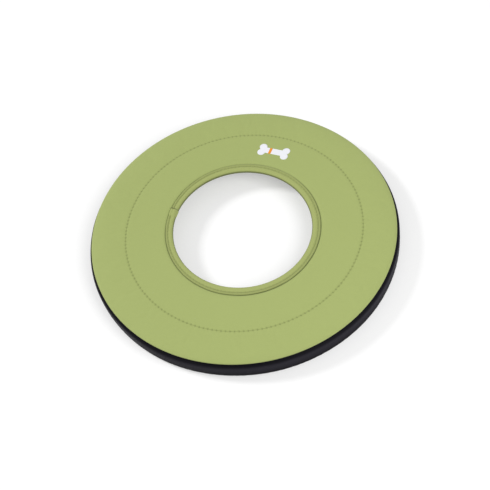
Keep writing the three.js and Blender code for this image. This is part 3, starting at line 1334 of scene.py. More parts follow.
# ------------------------------------------------------------------------------------ sewn pieces
@dataclass
class RingCloth:
    """A cloth sewn into a ring.

    Attributes:
        sleeve: the settled rim.
        NAME: the cloth's name in the sleeve.
        NODES: the CAD nodes that it stands for.
        SLOT: the record's material slot.
        CUT: how it is cut and sewn.
        FINISH: its finish.
        COLUMNS: points round the ring.
        THICK: its thickness, in metres.
        RESTS: the pieces that it lies on.
    """

    sleeve: RimSleeve

    NAME: ClassVar[str] = ""
    NODES: ClassVar[tuple[str, ...]] = ()
    SLOT: ClassVar[str] = ""
    CUT: ClassVar[Cut] = FACE_CUT
    FINISH: ClassVar[Finish] = FACE_CLOTH
    COLUMNS: ClassVar[int] = 720
    THICK: ClassVar[float] = 0.45 * MM
    RESTS: ClassVar[tuple[str, ...]] = ("rim_foam_core",)

    def lift(self, radius: np.ndarray, angle: np.ndarray, height: np.ndarray) -> tuple[Any, Any]:
        """Small shape of the cloth on top of its section; each cloth has its own.

        Args:
            radius: radii, in metres.
            angle: angles, in radians.
            height: heights, in metres.

        Returns:
            Changes of radius and height, in metres.
        """
        return 0.0, 0.0

    def painted_shade(self, radius: np.ndarray, angle: np.ndarray, height: np.ndarray) -> np.ndarray | None:
        """Painted shade on the cloth's colour, such as dark needle holes and creases; each cloth has its own.

        Args:
            radius: radii, in metres.
            angle: angles, in radians.
            height: heights, in metres.

        Returns:
            Values from 0 to 1, or None without marks.
        """
        return None

    def make(self) -> bpy.types.Object:
        """Builds the piece.

        Returns:
            The finished object.
        """
        at, along, seam_to_seam = self.CUT.rows()
        angle = (np.arange(self.COLUMNS) * TURN / self.COLUMNS)[None, :]
        radius = np.repeat(at[:, :1], self.COLUMNS, 1)
        height = np.repeat(at[:, 1:], self.COLUMNS, 1)
        out, up = self.lift(radius, angle, height)
        if self.NAME in self.sleeve.shifts:
            moved = self.sleeve.shift(self.NAME, seam_to_seam, self.COLUMNS)
            out, up = out + moved[..., 0], up + moved[..., 1]
        # Painted shade for the finish, stored in the 'needle' attribute.
        marks = self.painted_shade(radius, angle, height)
        piece = ring_object(f"{self.NODES[0]}_cloth", radius + out, np.maximum(height + up, 0.0))
        sew(piece)
        self._map(piece, along)
        if marks is not None:
            mark_points(piece, "needle", marks)
        dress(piece, self.FINISH)
        thicken(piece, self.THICK)
        plain_mesh(piece)
        self.declare(piece, float(along[-1]))
        return piece

    def _map(self, piece: bpy.types.Object, along: np.ndarray) -> None:
        """Lays the cloth's map round the ring, in whole pairs of threads so that the weave meets itself.

        Args:
            piece: the cloth.
            along: distance of each row along the section.
        """
        pair = 2 * getattr(self.FINISH, "pitch", 0.5 * MM)
        middle = float(np.mean(self.CUT.line()[:, 0]))
        lay_cloth_map(piece, along, self.COLUMNS, round(TURN * middle / pair) * pair)

    def flat(self, wide: float) -> dict[str, Any]:
        """The cloth's flat size, as it was cut.

        Args:
            wide: length of its section, in metres.

        Returns:
            Keywords for the sheet's declaration.
        """
        return {"flat": (wide, TURN * float(np.mean(self.CUT.line()[:, 0]))), "held": "stretched"}

    def declare(self, piece: bpy.types.Object, wide: float) -> None:
        """Tells the frame what the piece is.

        Args:
            piece: the finished object.
            wide: length of its section, in metres.
        """
        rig.ride(piece, BODY)
        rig.replaces(piece, *self.NODES)
        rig.slot(piece, self.SLOT)
        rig.sheet(piece, rests_on=list(self.RESTS), **self.flat(wide))


@dataclass
class FacePanel(RingCloth):
    """Green face: one flat-cut annulus from the hole's tape to the outer seam."""

    NAME = "face"
    NODES = ("top_panel",)
    SLOT = "face_fabric"
    CUT = FACE_CUT
    FINISH = FACE_CLOTH
    COLUMNS = 4 * SIZES.face_stitches
    RESTS = ("rim_foam_core", "web_foam")
    WARP: ClassVar[float] = math.radians(-11.0)

    def lift(self, radius: np.ndarray, angle: np.ndarray, height: np.ndarray) -> tuple[Any, Any]:
        """Needle dips and puckers along the stitches, and slow waves in the web.

        Args:
            radius: radii, in metres.
            angle: angles, in radians.
            height: heights, in metres.

        Returns:
            Changes of radius and height, in metres.
        """
        r = radius / MM
        hole = near_needle(angle, SIZES.face_stitches, 0.17)
        off = r - SIZES.stitch_r / MM
        dips = -0.5 * hole * bell(off, 0.6)
        puckers = 0.05 * (1 - 2 * hole) * bell(np.abs(off) - 1.9, 1.1)
        web = np.clip((r - 64.5) / 6.0, 0, 1) * np.clip((94.5 - r) / 6.0, 0, 1)
        slow = 0.10 * web * (ring_waves(angle, 3, 2, 9) + 0.5 * ring_waves(angle + r * 0.01, 5, 8, 22))
        pulled = 0.055 * bell(r - 66.5, 2.2) * ring_waves(angle, 7, 40, 110)
        gathers = 0.05 * np.clip((r - 113) / 8.0, 0, 1) * np.clip((123.2 - r) / 1.0, 0, 1)
        edge = gathers * ring_waves(angle, 11, 60, 170)
        return 0.0, (dips + puckers + slow + pulled + edge) * MM

    def painted_shade(self, radius: np.ndarray, angle: np.ndarray, height: np.ndarray) -> np.ndarray:
        """Painted shade: dark points in the needle holes, a faint shade along the row, the crease beside the tape and
        the step under the lap's end.

        Args:
            radius: radii, in metres.
            angle: angles, in radians.
            height: heights, in metres.

        Returns:
            Values from 0 to 1.
        """
        hole = near_needle(angle, SIZES.face_stitches, 0.16)
        off = (radius - SIZES.stitch_r) / MM
        # Painted shade in the crease beside the tape.
        beside_tape = 0.72 * bell(radius / MM - 63.85, 0.36)
        # Painted shade in the step under the lap's end.
        past_lap = (angle - SIZES.lap_from) * radius / MM + 0.25
        under_lap = 0.95 * bell(past_lap, 0.55) * bell(radius / MM - 64.1, 0.75)
        # Painted shade in the needle holes, and faintly along the row.
        sewn = 0.75 * hole * bell(off, 0.6) + 0.04 * bell(off, 0.5)
        return np.maximum.reduce([sewn, beside_tape, under_lap])

    def _map(self, piece: bpy.types.Object, along: np.ndarray) -> None:
        """The face is cut flat, so its map is its plan."""
        lay_flat_map(piece, self.WARP)

    def flat(self, wide: float) -> dict[str, Any]:
        """The face's cut: an annulus as wide as its section.

        Args:
            wide: length of its section, in metres.

        Returns:
            Keywords for the sheet's declaration.
        """
        inner = self.CUT.corners[0][0] * MM
        outer = inner + wide
        return {
            "flat": (2 * outer, 2 * outer),
            "area": math.pi * (outer**2 - inner**2),
            "held": "stretched",
        }

    def top(self, x: float, y: float) -> float:
        """Height of the face's outer side above a point of the web.

        Args:
            x: in metres.
            y: in metres.

        Returns:
            The height, in metres.
        """
        line = self.CUT.line()[: self.CUT.seams[0] * Cut.STEPS]
        radius, angle = np.array([math.hypot(x, y)]), np.array([math.atan2(y, x) % TURN])
        base = np.interp(radius, line[:, 0], line[:, 1])
        return float((base + self.lift(radius, angle, base)[1])[0])


@dataclass
class SideBand(RingCloth):
    """Dark coated band round the rim, joined to itself at the back."""

    NAME = "band"
    NODES = ("side_band",)
    SLOT = "coated_fabric"
    CUT = BAND_CUT
    FINISH = BAND_CLOTH
    JOINT: ClassVar[float] = math.radians(97.0)
    SAG_AT: ClassVar[float] = math.radians(-58.0)

    def lift(self, radius: np.ndarray, angle: np.ndarray, height: np.ndarray) -> tuple[Any, Any]:
        """Slow waves, ripples at the two seams and the upright joint.

        Args:
            radius: radii, in metres.
            angle: angles, in radians.
            height: heights, in metres.

        Returns:
            Changes of radius and height, in metres.
        """
        r, z = radius / MM, height / MM
        free = np.clip((z - 0.4) / 2.0, 0, 1) * np.clip((14.6 - z) / 1.5, 0, 1)
        slow = 0.16 * free * ring_waves(angle, 21, 2, 12)
        top = 0.07 * bell(z - 13.6, 1.5) * ring_waves(angle, 23, 70, 190)
        foot = 0.07 * bell(z - 2.2, 1.6) * ring_waves(angle, 27, 60, 170)
        from_joint = (np.abs((angle - self.JOINT + math.pi) % TURN - math.pi)) * r
        joint = free * (0.22 * bell(from_joint - 2.4, 1.8) - 0.5 * bell(from_joint, 0.75))
        sag = np.clip((r - 121.6) / 1.6, 0, 1) * np.clip((9.0 - z) / 7.5, 0, 1)
        sag = sag * (0.3 + 1.0 * (0.5 + 0.5 * np.cos(angle - self.SAG_AT)) ** 3)
        return (slow + top + foot + joint + sag) * MM, 0.0

    def painted_shade(self, radius: np.ndarray, angle: np.ndarray, height: np.ndarray) -> np.ndarray:
        """Painted shade: darker in the upper seam under the green edge, and darker towards the ground.

        Args:
            radius: radii, in metres.
            angle: angles, in radians.
            height: heights, in metres.

        Returns:
            Values from 0 to 1.
        """
        z = height / MM
        # Painted shade: darker below 7.5 mm towards the ground, and above 11.3 mm in the seam under the green edge.
        return np.maximum(0.85 * np.clip((7.5 - z) / 4.5, 0, 1), 0.85 * np.clip((z - 11.3) / 1.8, 0, 1))


@dataclass
class FootPanel(RingCloth):
    """Dark underside of the rim, which the ring lies on."""

    NAME = "foot"
    NODES = ("bottom_panel",)
    SLOT = "coated_fabric"
    CUT = FOOT_CUT
    FINISH = FOOT_CLOTH

    def lift(self, radius: np.ndarray, angle: np.ndarray, height: np.ndarray) -> tuple[Any, Any]:
        """Puckers along the two seams; the middle stays on the ground.

        Args:
            radius: radii, in metres.
            angle: angles, in radians.
            height: heights, in metres.

        Returns:
            Changes of radius and height, in metres.
        """
        r = radius / MM
        outer = bell(r - 119.6, 1.5) * ring_waves(angle, 31, 60, 170)
        inner = bell(r - 103.4, 1.5) * ring_waves(angle, 33, 50, 150)
        return 0.0, 0.09 * np.abs(outer + inner) * MM


@dataclass
class InnerBand(RingCloth):
    """Dark inner wall of the rim."""

    NAME = "inner"
    NODES = ("inner_band",)
    SLOT = "coated_fabric"
    CUT = INNER_CUT
    FINISH = FOOT_CLOTH

    def lift(self, radius: np.ndarray, angle: np.ndarray, height: np.ndarray) -> tuple[Any, Any]:
        """Gathers from the stitch row above and the seam below.

        Args:
            radius: radii, in metres.
            angle: angles, in radians.
            height: heights, in metres.

        Returns:
            Changes of radius and height, in metres.
        """
        z = height / MM
        slow = 0.15 * bell(z - 7.0, 4.5) * ring_waves(angle, 41, 3, 16)
        above = 0.12 * bell(z - 12.4, 2.2) * ring_waves(angle, 43, 60, 160)
        below = 0.08 * bell(z - 2.0, 1.6) * ring_waves(angle, 47, 60, 160)
        return (slow + above + below) * MM, 0.0


@dataclass
class WebLining(RingCloth):
    """Dark lining under the web."""

    NAME = "lining"
    NODES = ("web_lining",)
    SLOT = "lining_fabric"
    CUT = LINING_CUT
    FINISH = LINING_CLOTH
    COLUMNS = 4 * SIZES.face_stitches
    THICK = 0.35 * MM
    RESTS = ("web_foam",)

    def lift(self, radius: np.ndarray, angle: np.ndarray, height: np.ndarray) -> tuple[Any, Any]:
        """Needle dips and puckers, seen from below, and slow waves.

        Args:
            radius: radii, in metres.
            angle: angles, in radians.
            height: heights, in metres.

        Returns:
            Changes of radius and height, in metres.
        """
        r = radius / MM
        hole = near_needle(angle, SIZES.face_stitches, 0.17)
        off = r - SIZES.stitch_r / MM
        dips = 0.2 * hole * bell(off, 0.6)
        web = np.clip((r - 65.0) / 6.0, 0, 1) * np.clip((94.0 - r) / 6.0, 0, 1)
        slow = 0.11 * web * ring_waves(angle, 51, 2, 14)
        pulled = 0.06 * bell(r - 67.0, 2.4) * ring_waves(angle, 53, 40, 110)
        return 0.0, (dips + slow + pulled) * MM

    def painted_shade(self, radius: np.ndarray, angle: np.ndarray, height: np.ndarray) -> np.ndarray:
        """Painted shade: dark points in the needle holes."""
        off = (radius - SIZES.stitch_r) / MM
        return 0.7 * near_needle(angle, SIZES.face_stitches, 0.16) * bell(off, 0.55)


@dataclass
class HoleTape(RingCloth):
    """Green tape folded over the hole's edge and stitched through."""

    NAME = "tape"
    NODES = ("hole_binding",)
    SLOT = "binding_tape"
    CUT = TAPE_CUT
    FINISH = TAPE_CLOTH
    COLUMNS = 6 * SIZES.tape_stitches
    THICK = 0.3 * MM
    RESTS = ("top_panel_cloth", "web_lining_cloth")

    def lift(self, radius: np.ndarray, angle: np.ndarray, height: np.ndarray) -> tuple[Any, Any]:
        """Needle dips, small gathers on the roll, and an outer edge that wanders a little.

        Args:
            radius: radii, in metres.
            angle: angles, in radians.
            height: heights, in metres.

        Returns:
            Changes of radius and height, in metres.
        """
        r = radius / MM
        side = np.where(height > 16.1 * MM, 1.0, -1.0)
        hole = near_needle(angle, SIZES.tape_stitches, 0.17)
        off = r - SIZES.tape_stitch_r / MM
        dips = -0.16 * side * hole * bell(off, 0.6)
        gathers = 0.05 * (1 - 2 * hole) * bell(r - 60.2, 0.9) * side
        ribs = 0.045 * bell(r - 57.0, 1.1) * ring_waves(angle, 61, 80, 240)
        wander = 0.16 * np.clip((r - 61.9) / 1.4, 0, 1) * ring_waves(angle, 63, 3, 24)
        swell = 0.10 * side * bell(r - 59.6, 1.5) * ring_waves(angle, 67, 5, 40)
        return (wander - ribs) * MM, (dips + gathers + swell) * MM

    def painted_shade(self, radius: np.ndarray, angle: np.ndarray, height: np.ndarray) -> np.ndarray:
        """Painted shade: faint points in the needle holes, the fold's inner side under the roll, and the crease at the
        lap's end; the strip outside the stitches is a little darker too.

        Args:
            radius: radii, in metres.
            angle: angles, in radians.
            height: heights, in metres.

        Returns:
            Values from 0 to 1.
        """
        hole = near_needle(angle, SIZES.tape_stitches, 0.16)
        off = (radius - SIZES.tape_stitch_r) / MM
        at_lap = (angle - SIZES.lap_from) * radius / MM + 0.3
        flap = 0.18 * np.clip((radius / MM - 61.2) / 0.6, 0, 1)
        below, inside = (17.45 - height / MM) / 0.55, (58.7 - radius / MM) / 0.6
        # Painted shade on the roll's inner side, under the fold.
        turned_in = 0.85 * np.clip(below, 0, 1) * np.clip(inside, 0, 1)
        # Painted shade in the needle holes, and faintly along the row.
        sewn = 0.38 * hole * bell(off, 0.5) + 0.05 * bell(off, 0.5)
        # Painted shade in the crease at the lap's end.
        under_lap = bell(at_lap, 0.7) * np.clip((radius / MM - 58.0) / 3.0, 0.45, 1.0)
        return np.maximum.reduce([sewn + flap, turned_in, under_lap])

    def flat(self, wide: float) -> dict[str, Any]:
        """A strip, folded along its middle."""
        return {**super().flat(wide), "held": "folded"}


@dataclass
class TapeLap:
    """The tape's turned-under end, lapped over its start.

    Attributes:
        tape: the tape that it ends.
        rise: how far it stands above the tape, in metres.
        sunk: how deep its other end sinks into the tape, in metres.
        columns: points along the lap.
        thick: the tape's thickness, in metres.
        hem: its flat length with the hem that is turned under, in metres.
        middle: radius at which its map is laid, in metres.
    """

    tape: HoleTape
    rise: float = 0.6 * MM
    sunk: float = 0.12 * MM
    columns: int = 40
    thick: float = 0.3 * MM
    hem: float = 10.1 * MM
    middle: float = 61.0 * MM

    def make(self) -> bpy.types.Object:
        """Builds the lap.

        Returns:
            The finished object.
        """
        at, along, _ = TAPE_CUT.rows()
        part = np.linspace(0, 1, self.columns)
        angle = SIZES.lap_from + part * SIZES.lap_wide
        normal = self._outward(at)
        edge = np.sqrt(np.clip(1 - ((0.09 - np.minimum(part, 0.09)) / 0.09) ** 2, 0, 1))
        fade = np.clip((1 - part) / 0.35, 0, 1) ** 0.8
        flatter = 0.55 + 0.45 * np.clip((at[:, :1] / MM - 57.4) / 2.5, 0, 1)
        proud = flatter * (self.rise * edge * fade)[None, :] - self.sunk * (1 - edge * fade)[None, :]
        radius, height = (at[:, k : k + 1] + normal[:, k : k + 1] * proud for k in (0, 1))
        out, up = self.tape.lift(np.repeat(at[:, :1], self.columns, 1), angle[None, :], height)
        radius, height = radius + out, height + up
        x, y = as_sewn(radius * np.cos(angle), radius * np.sin(angle))
        points = np.stack([x, y, height], axis=-1).reshape(-1, 3)
        i, j = np.meshgrid(np.arange(len(at) - 1), np.arange(self.columns - 1), indexing="ij")
        here, below = i * self.columns + j, (i + 1) * self.columns + j
        faces = np.stack([here, below, below + 1, here + 1], axis=-1).reshape(-1, 4)
        piece = mesh_object("binding_lap_cloth", points, faces.tolist())
        self._map(piece, along, angle)
        dress(piece, TAPE_CLOTH)
        thicken(piece, self.thick)
        plain_mesh(piece)
        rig.ride(piece, BODY)
        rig.replaces(piece, "binding_lap")
        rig.slot(piece, "binding_tape")
        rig.sheet(
            piece,
            flat=(float(along[-1]), self.hem),
            held="folded",
            rests_on=["hole_binding_cloth"],
        )
        return piece

    @staticmethod
    def _outward(at: np.ndarray) -> np.ndarray:
        """Finds the way out of the tape's outer side.

        Args:
            at: the section's points.

        Returns:
            A unit vector for each point.
        """
        run = np.gradient(at, axis=0)
        run /= np.linalg.norm(run, axis=1, keepdims=True)
        return np.stack([-run[:, 1], run[:, 0]], axis=1)

    def _map(self, piece: bpy.types.Object, along: np.ndarray, angle: np.ndarray) -> None:
        """Lays the lap's own map, in metres, and paints shade along its folded edge.

        Args:
            piece: the lap.
            along: distance of each row along the section.
            angle: angle of each column, in radians.
        """
        rows = len(along)
        i, j = np.meshgrid(np.arange(rows - 1), np.arange(self.columns - 1), indexing="ij")
        u = np.stack([angle[j], angle[j], angle[j + 1], angle[j + 1]], axis=-1) * self.middle
        v = np.stack([along[i], along[i + 1], along[i + 1], along[i]], axis=-1)
        layer = piece.data.uv_layers.new(name="cloth")
        layer.data.foreach_set("uv", np.stack([u, v], axis=-1).reshape(-1).astype(np.float32))
        # Painted shade along the lap's folded edge.
        edge = 0.9 * np.clip((0.09 - np.linspace(0, 1, self.columns)) / 0.07, 0, 1)
        mark_points(piece, "needle", np.tile(edge, rows))


# ------------------------------------------------------------------------------------ foam
@dataclass
class FoamCore:
    """Closed-cell foam ring inside the rim's cover.

    Attributes:
        columns: points round the ring.
        gap: gap between the rows, in metres.
        uneven: how far its cut sides wander, in metres.
    """

    columns: int = 240
    gap: float = 1.3 * MM
    uneven: float = 0.07 * MM

    SECTION: ClassVar[Line] = (
        (98.7, 14.6), (98.9, 16.1), (100.2, 16.55), (103.0, 16.8), (107.0, 16.9), (112.5, 16.65),
        (117.0, 16.05), (120.0, 15.25), (121.9, 14.1), (123.2, 12.4), (123.6, 9.6), (123.2, 5.6),
        (122.4, 3.0), (121.0, 2.1), (112.0, 1.95), (103.0, 2.0), (101.8, 2.4), (100.9, 5.0),
        (99.7, 10.0),
    )

    def make(self) -> bpy.types.Object:
        """Builds the foam ring.

        Returns:
            The finished object.
        """
        line = dense_line([*self.SECTION, self.SECTION[0]], 8)
        at = spaced_rows(line, lambda r: np.full_like(r, self.gap))[0][:-1]
        angle = (np.arange(self.columns) * TURN / self.columns)[None, :]
        wander = self.uneven * ring_waves(angle, 71, 4, 60)
        radius, height = at[:, :1] + wander, at[:, 1:] + wander
        piece = ring_object("rim_foam_core", radius, height, closed=True)
        sew(piece)
        dress(piece, FOAM)
        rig.ride(piece, BODY)
        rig.replaces(piece, "rim_foam")
        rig.slot(piece, "foam")
        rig.padded(piece, fill=1.0)
        return piece


# ------------------------------------------------------------------------------------ stitches
class StitchSide(Enum):
    """Which way a row of stitches stands out of its cloth."""

    UP = 1.0
    DOWN = -1.0


class StitchTree:
    """Geometry nodes that lay one row of lockstitches round the ring."""

    ASKEW: ClassVar[tuple[float, float, float]] = (0.05, 0.02, 0.035)
    INPUTS: ClassVar[dict[str, tuple[str, Any]]] = {
        "Count": ("Int", 175),
        "Radius": ("Float", 0.1),
        "Height": ("Float", 0.0),
        "Thread": ("Float", 0.0002),
        "Rise": ("Float", 0.0001),
        "Sink": ("Float", 0.0003),
        "Cover": ("Float", 0.9),
        "Seed": ("Int", 1),
        "Finish": ("Material", None),
    }

    def __init__(self) -> None:
        """Builds the tree."""
        self.tree = bpy.data.node_groups.new("stitch_row", "GeometryNodeTree")
        self.ids: dict[str, str] = {}
        for name, (kind, default) in self.INPUTS.items():
            kind = f"NodeSocket{kind}"
            socket = self.tree.interface.new_socket(name=name, in_out="INPUT", socket_type=kind)
            if default is not None:
                socket.default_value = default
            self.ids[name] = socket.identifier
        kind = "NodeSocketGeometry"
        self.tree.interface.new_socket(name="Geometry", in_out="OUTPUT", socket_type=kind)
        self.given = self.tree.nodes.new("NodeGroupInput").outputs
        out = self.tree.nodes.new("NodeGroupOutput")
        self._link(self._dressed(self._laid(self._stitch())), out.inputs["Geometry"])

    def _link(self, source: bpy.types.NodeSocket, target: bpy.types.NodeSocket) -> None:
        """Joins two sockets."""
        self.tree.links.new(source, target)

    def _put(self, kind: str, links: dict[str, Any], **settings: Any) -> bpy.types.Node:
        """Adds a node, sets its properties, and feeds its inputs.

        Args:
            kind: the node's type.
            links: input name or number to a value or a socket.
            **settings: the node's properties.

        Returns:
            The node.
        """
        made = self.tree.nodes.new(kind)
        for key, value in settings.items():
            setattr(made, key, value)
        for key, value in links.items():
            if isinstance(value, bpy.types.NodeSocket):
                self._link(value, made.inputs[key])
            else:
                made.inputs[key].default_value = value
        return made

    def _math(self, operation: str, *values: Any) -> bpy.types.NodeSocket:
        """Adds a Math node and gives its output."""
        return self._put("ShaderNodeMath", dict(enumerate(values)), operation=operation).outputs[0]

    def _vector(self, **parts: Any) -> bpy.types.NodeSocket:
        """Joins X, Y and Z, each 0 where it isn't given."""
        return self._put("ShaderNodeCombineXYZ", parts).outputs[0]

    def _stitch(self) -> bpy.types.NodeSocket:
        """One stitch: a short thread that arches over the cloth and dives at both ends.

        Returns:
            Its mesh.
        """
        step = self._math("DIVIDE", self._math("MULTIPLY", self.given["Radius"], TURN), self.given["Count"])
        half = self._math("MULTIPLY", self._math("MULTIPLY", step, self.given["Cover"]), 0.5)
        ends = {"Start": self._vector(X=self._math("MULTIPLY", half, -1.0)), "End": self._vector(X=half)}
        line = self._put("GeometryNodeCurvePrimitiveLine", ends).outputs[0]
        line = self._put("GeometryNodeResampleCurve", {"Curve": line, "Count": 9}).outputs[0]
        part = self._put("GeometryNodeSplineParameter", {}).outputs["Factor"]
        off = self._math("ABSOLUTE", self._math("MULTIPLY_ADD", part, 2.0, -1.0))
        deepest = self._math("ADD", self.given["Rise"], self.given["Sink"])
        drop = self._math("MULTIPLY", self._math("POWER", off, 4.0), deepest)
        arch = self._vector(Z=self._math("SUBTRACT", self.given["Rise"], drop))
        line = self._put("GeometryNodeSetPosition", {"Geometry": line, "Offset": arch}).outputs[0]
        section = {"Resolution": 6, "Radius": self.given["Thread"]}
        thread = {
            "Curve": line,
            "Profile Curve": self._put("GeometryNodeCurvePrimitiveCircle", section).outputs[0],
            "Fill Caps": True,
        }
        return self._put("GeometryNodeCurveToMesh", thread).outputs[0]

    def _laid(self, stitch: bpy.types.NodeSocket) -> bpy.types.NodeSocket:
        """Lays the stitches between the needle holes, each a little askew.

        Args:
            stitch: one stitch.

        Returns:
            The row, as instances.
        """
        circle = {"Resolution": self.given["Count"], "Radius": self.given["Radius"]}
        ring = self._put("GeometryNodeCurvePrimitiveCircle", circle).outputs[0]
        turn = self._vector(Z=self._math("DIVIDE", math.pi, self.given["Count"]))
        lift = self._vector(Z=self.given["Height"])
        for change in ({"Rotation": turn}, {"Translation": lift}):
            ring = self._put("GeometryNodeTransform", {"Geometry": ring, **change}).outputs[0]
        tangent = self._put("GeometryNodeInputTangent", {}).outputs[0]
        along = self._put("FunctionNodeAlignRotationToVector", {"Vector": tangent}, axis="X")
        limits = {0: [-k for k in self.ASKEW], 1: self.ASKEW, "Seed": self.given["Seed"]}
        askew = self._put("FunctionNodeRandomValue", limits, data_type="FLOAT_VECTOR")
        tilt = self._put("FunctionNodeEulerToRotation", {0: askew.outputs[0]}).outputs[0]
        both = {"Rotation": along.outputs[0], "Rotate By": tilt}
        facing = self._put("FunctionNodeRotateRotation", both, rotation_space="LOCAL").outputs[0]
        laid = {"Points": ring, "Instance": stitch, "Rotation": facing}
        return self._put("GeometryNodeInstanceOnPoints", laid).outputs[0]

    def _dressed(self, laid: bpy.types.NodeSocket) -> bpy.types.NodeSocket:
        """Makes the row real mesh and gives it its finish.

        Args:
            laid: the row, as instances.

        Returns:
            The finished row.
        """
        real = self._put("GeometryNodeRealizeInstances", {"Geometry": laid}).outputs[0]
        smooth = self._put("GeometryNodeSetShadeSmooth", {"Geometry": real}).outputs[0]
        thread = {"Geometry": smooth, "Material": self.given["Finish"]}
        return self._put("GeometryNodeSetMaterial", thread).outputs[0]


@dataclass
class StitchRow:
    """A row of lockstitches round the ring.

    Attributes:
        node: the CAD thread that it stands for.
        radius: radius of the row, in metres.
        height: height of the cloth there, in metres.
        count: stitches in the row.
        thread: radius of the thread, in metres.
        side: which way the stitches stand out.
        finish: the thread's finish.
        slot: the record's slot.
        seed: picks how the stitches sit.
        RISE: how far a stitch stands proud, in thread radii.
        SINK: how far its ends dive, in thread radii.
        COVER: its share of the way from hole to hole.
    """

    node: str
    radius: float
    height: float
    count: int
    thread: float
    side: StitchSide
    finish: ThreadFinish
    slot: str
    seed: int = 1

    RISE: ClassVar[float] = 0.75
    SINK: ClassVar[float] = 2.6
    COVER: ClassVar[float] = 0.96

    def make(self, tree: StitchTree) -> bpy.types.Object:
        """Builds the row.

        Args:
            tree: the stitches' geometry nodes.

        Returns:
            The finished object.
        """
        name = f"{self.node}_row"
        piece = bpy.data.objects.new(name, bpy.data.meshes.new(name))
        bpy.context.scene.collection.objects.link(piece)
        rows = piece.modifiers.new("stitches", "NODES")
        rows.node_group = tree.tree
        values = {
            "Count": self.count,
            "Radius": self.radius,
            "Height": self.height,
            "Thread": self.thread,
            "Rise": self.side.value * self.thread * self.RISE,
            "Sink": self.side.value * self.thread * self.SINK,
            "Cover": self.COVER,
            "Seed": self.seed,
            "Finish": material_of(self.finish),
        }
        for key, value in values.items():
            rows[tree.ids[key]] = value
        plain_mesh(piece)
        sew(piece)
        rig.ride(piece, BODY)
        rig.replaces(piece, self.node)
        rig.slot(piece, self.slot)
        return piece


def stitch_rows() -> list[StitchRow]:
    """Every row of stitches that the ring is sewn with.

    Returns:
        The rows of the face and the tape, above and below, then the three seams of the rim.
    """
    up, down = StitchSide.UP, StitchSide.DOWN
    green, dark = (GREEN_THREAD, "green_thread"), (DARK_THREAD, "dark_thread")
    face, tape = (SIZES.stitch_r, SIZES.face_stitches), (SIZES.tape_stitch_r, SIZES.tape_stitches)
    rows = (
        ("ring_stitch_top", *face, 17.2, 0.21, up, green, 3),
        ("ring_stitch_bobbin", *face, 14.85, 0.2, down, dark, 5),
        ("binding_stitch_top", *tape, 17.62, 0.19, up, green, 7),
        ("binding_stitch_bobbin", *tape, 14.62, 0.18, down, dark, 9),
        ("edge_seam_thread", 122.35 * MM, 224, 14.85, 0.13, up, dark, 11),
        ("outer_foot_thread", 121.12 * MM, 222, 0.62, 0.13, down, dark, 13),
        ("inner_foot_thread", 101.9 * MM, 186, 0.62, 0.13, down, dark, 15),
    )
    return [
        StitchRow(node, radius, height * MM, count, thread * MM, side, *finish, seed=seed)
        for node, radius, count, height, thread, side, finish, seed in rows
    ]


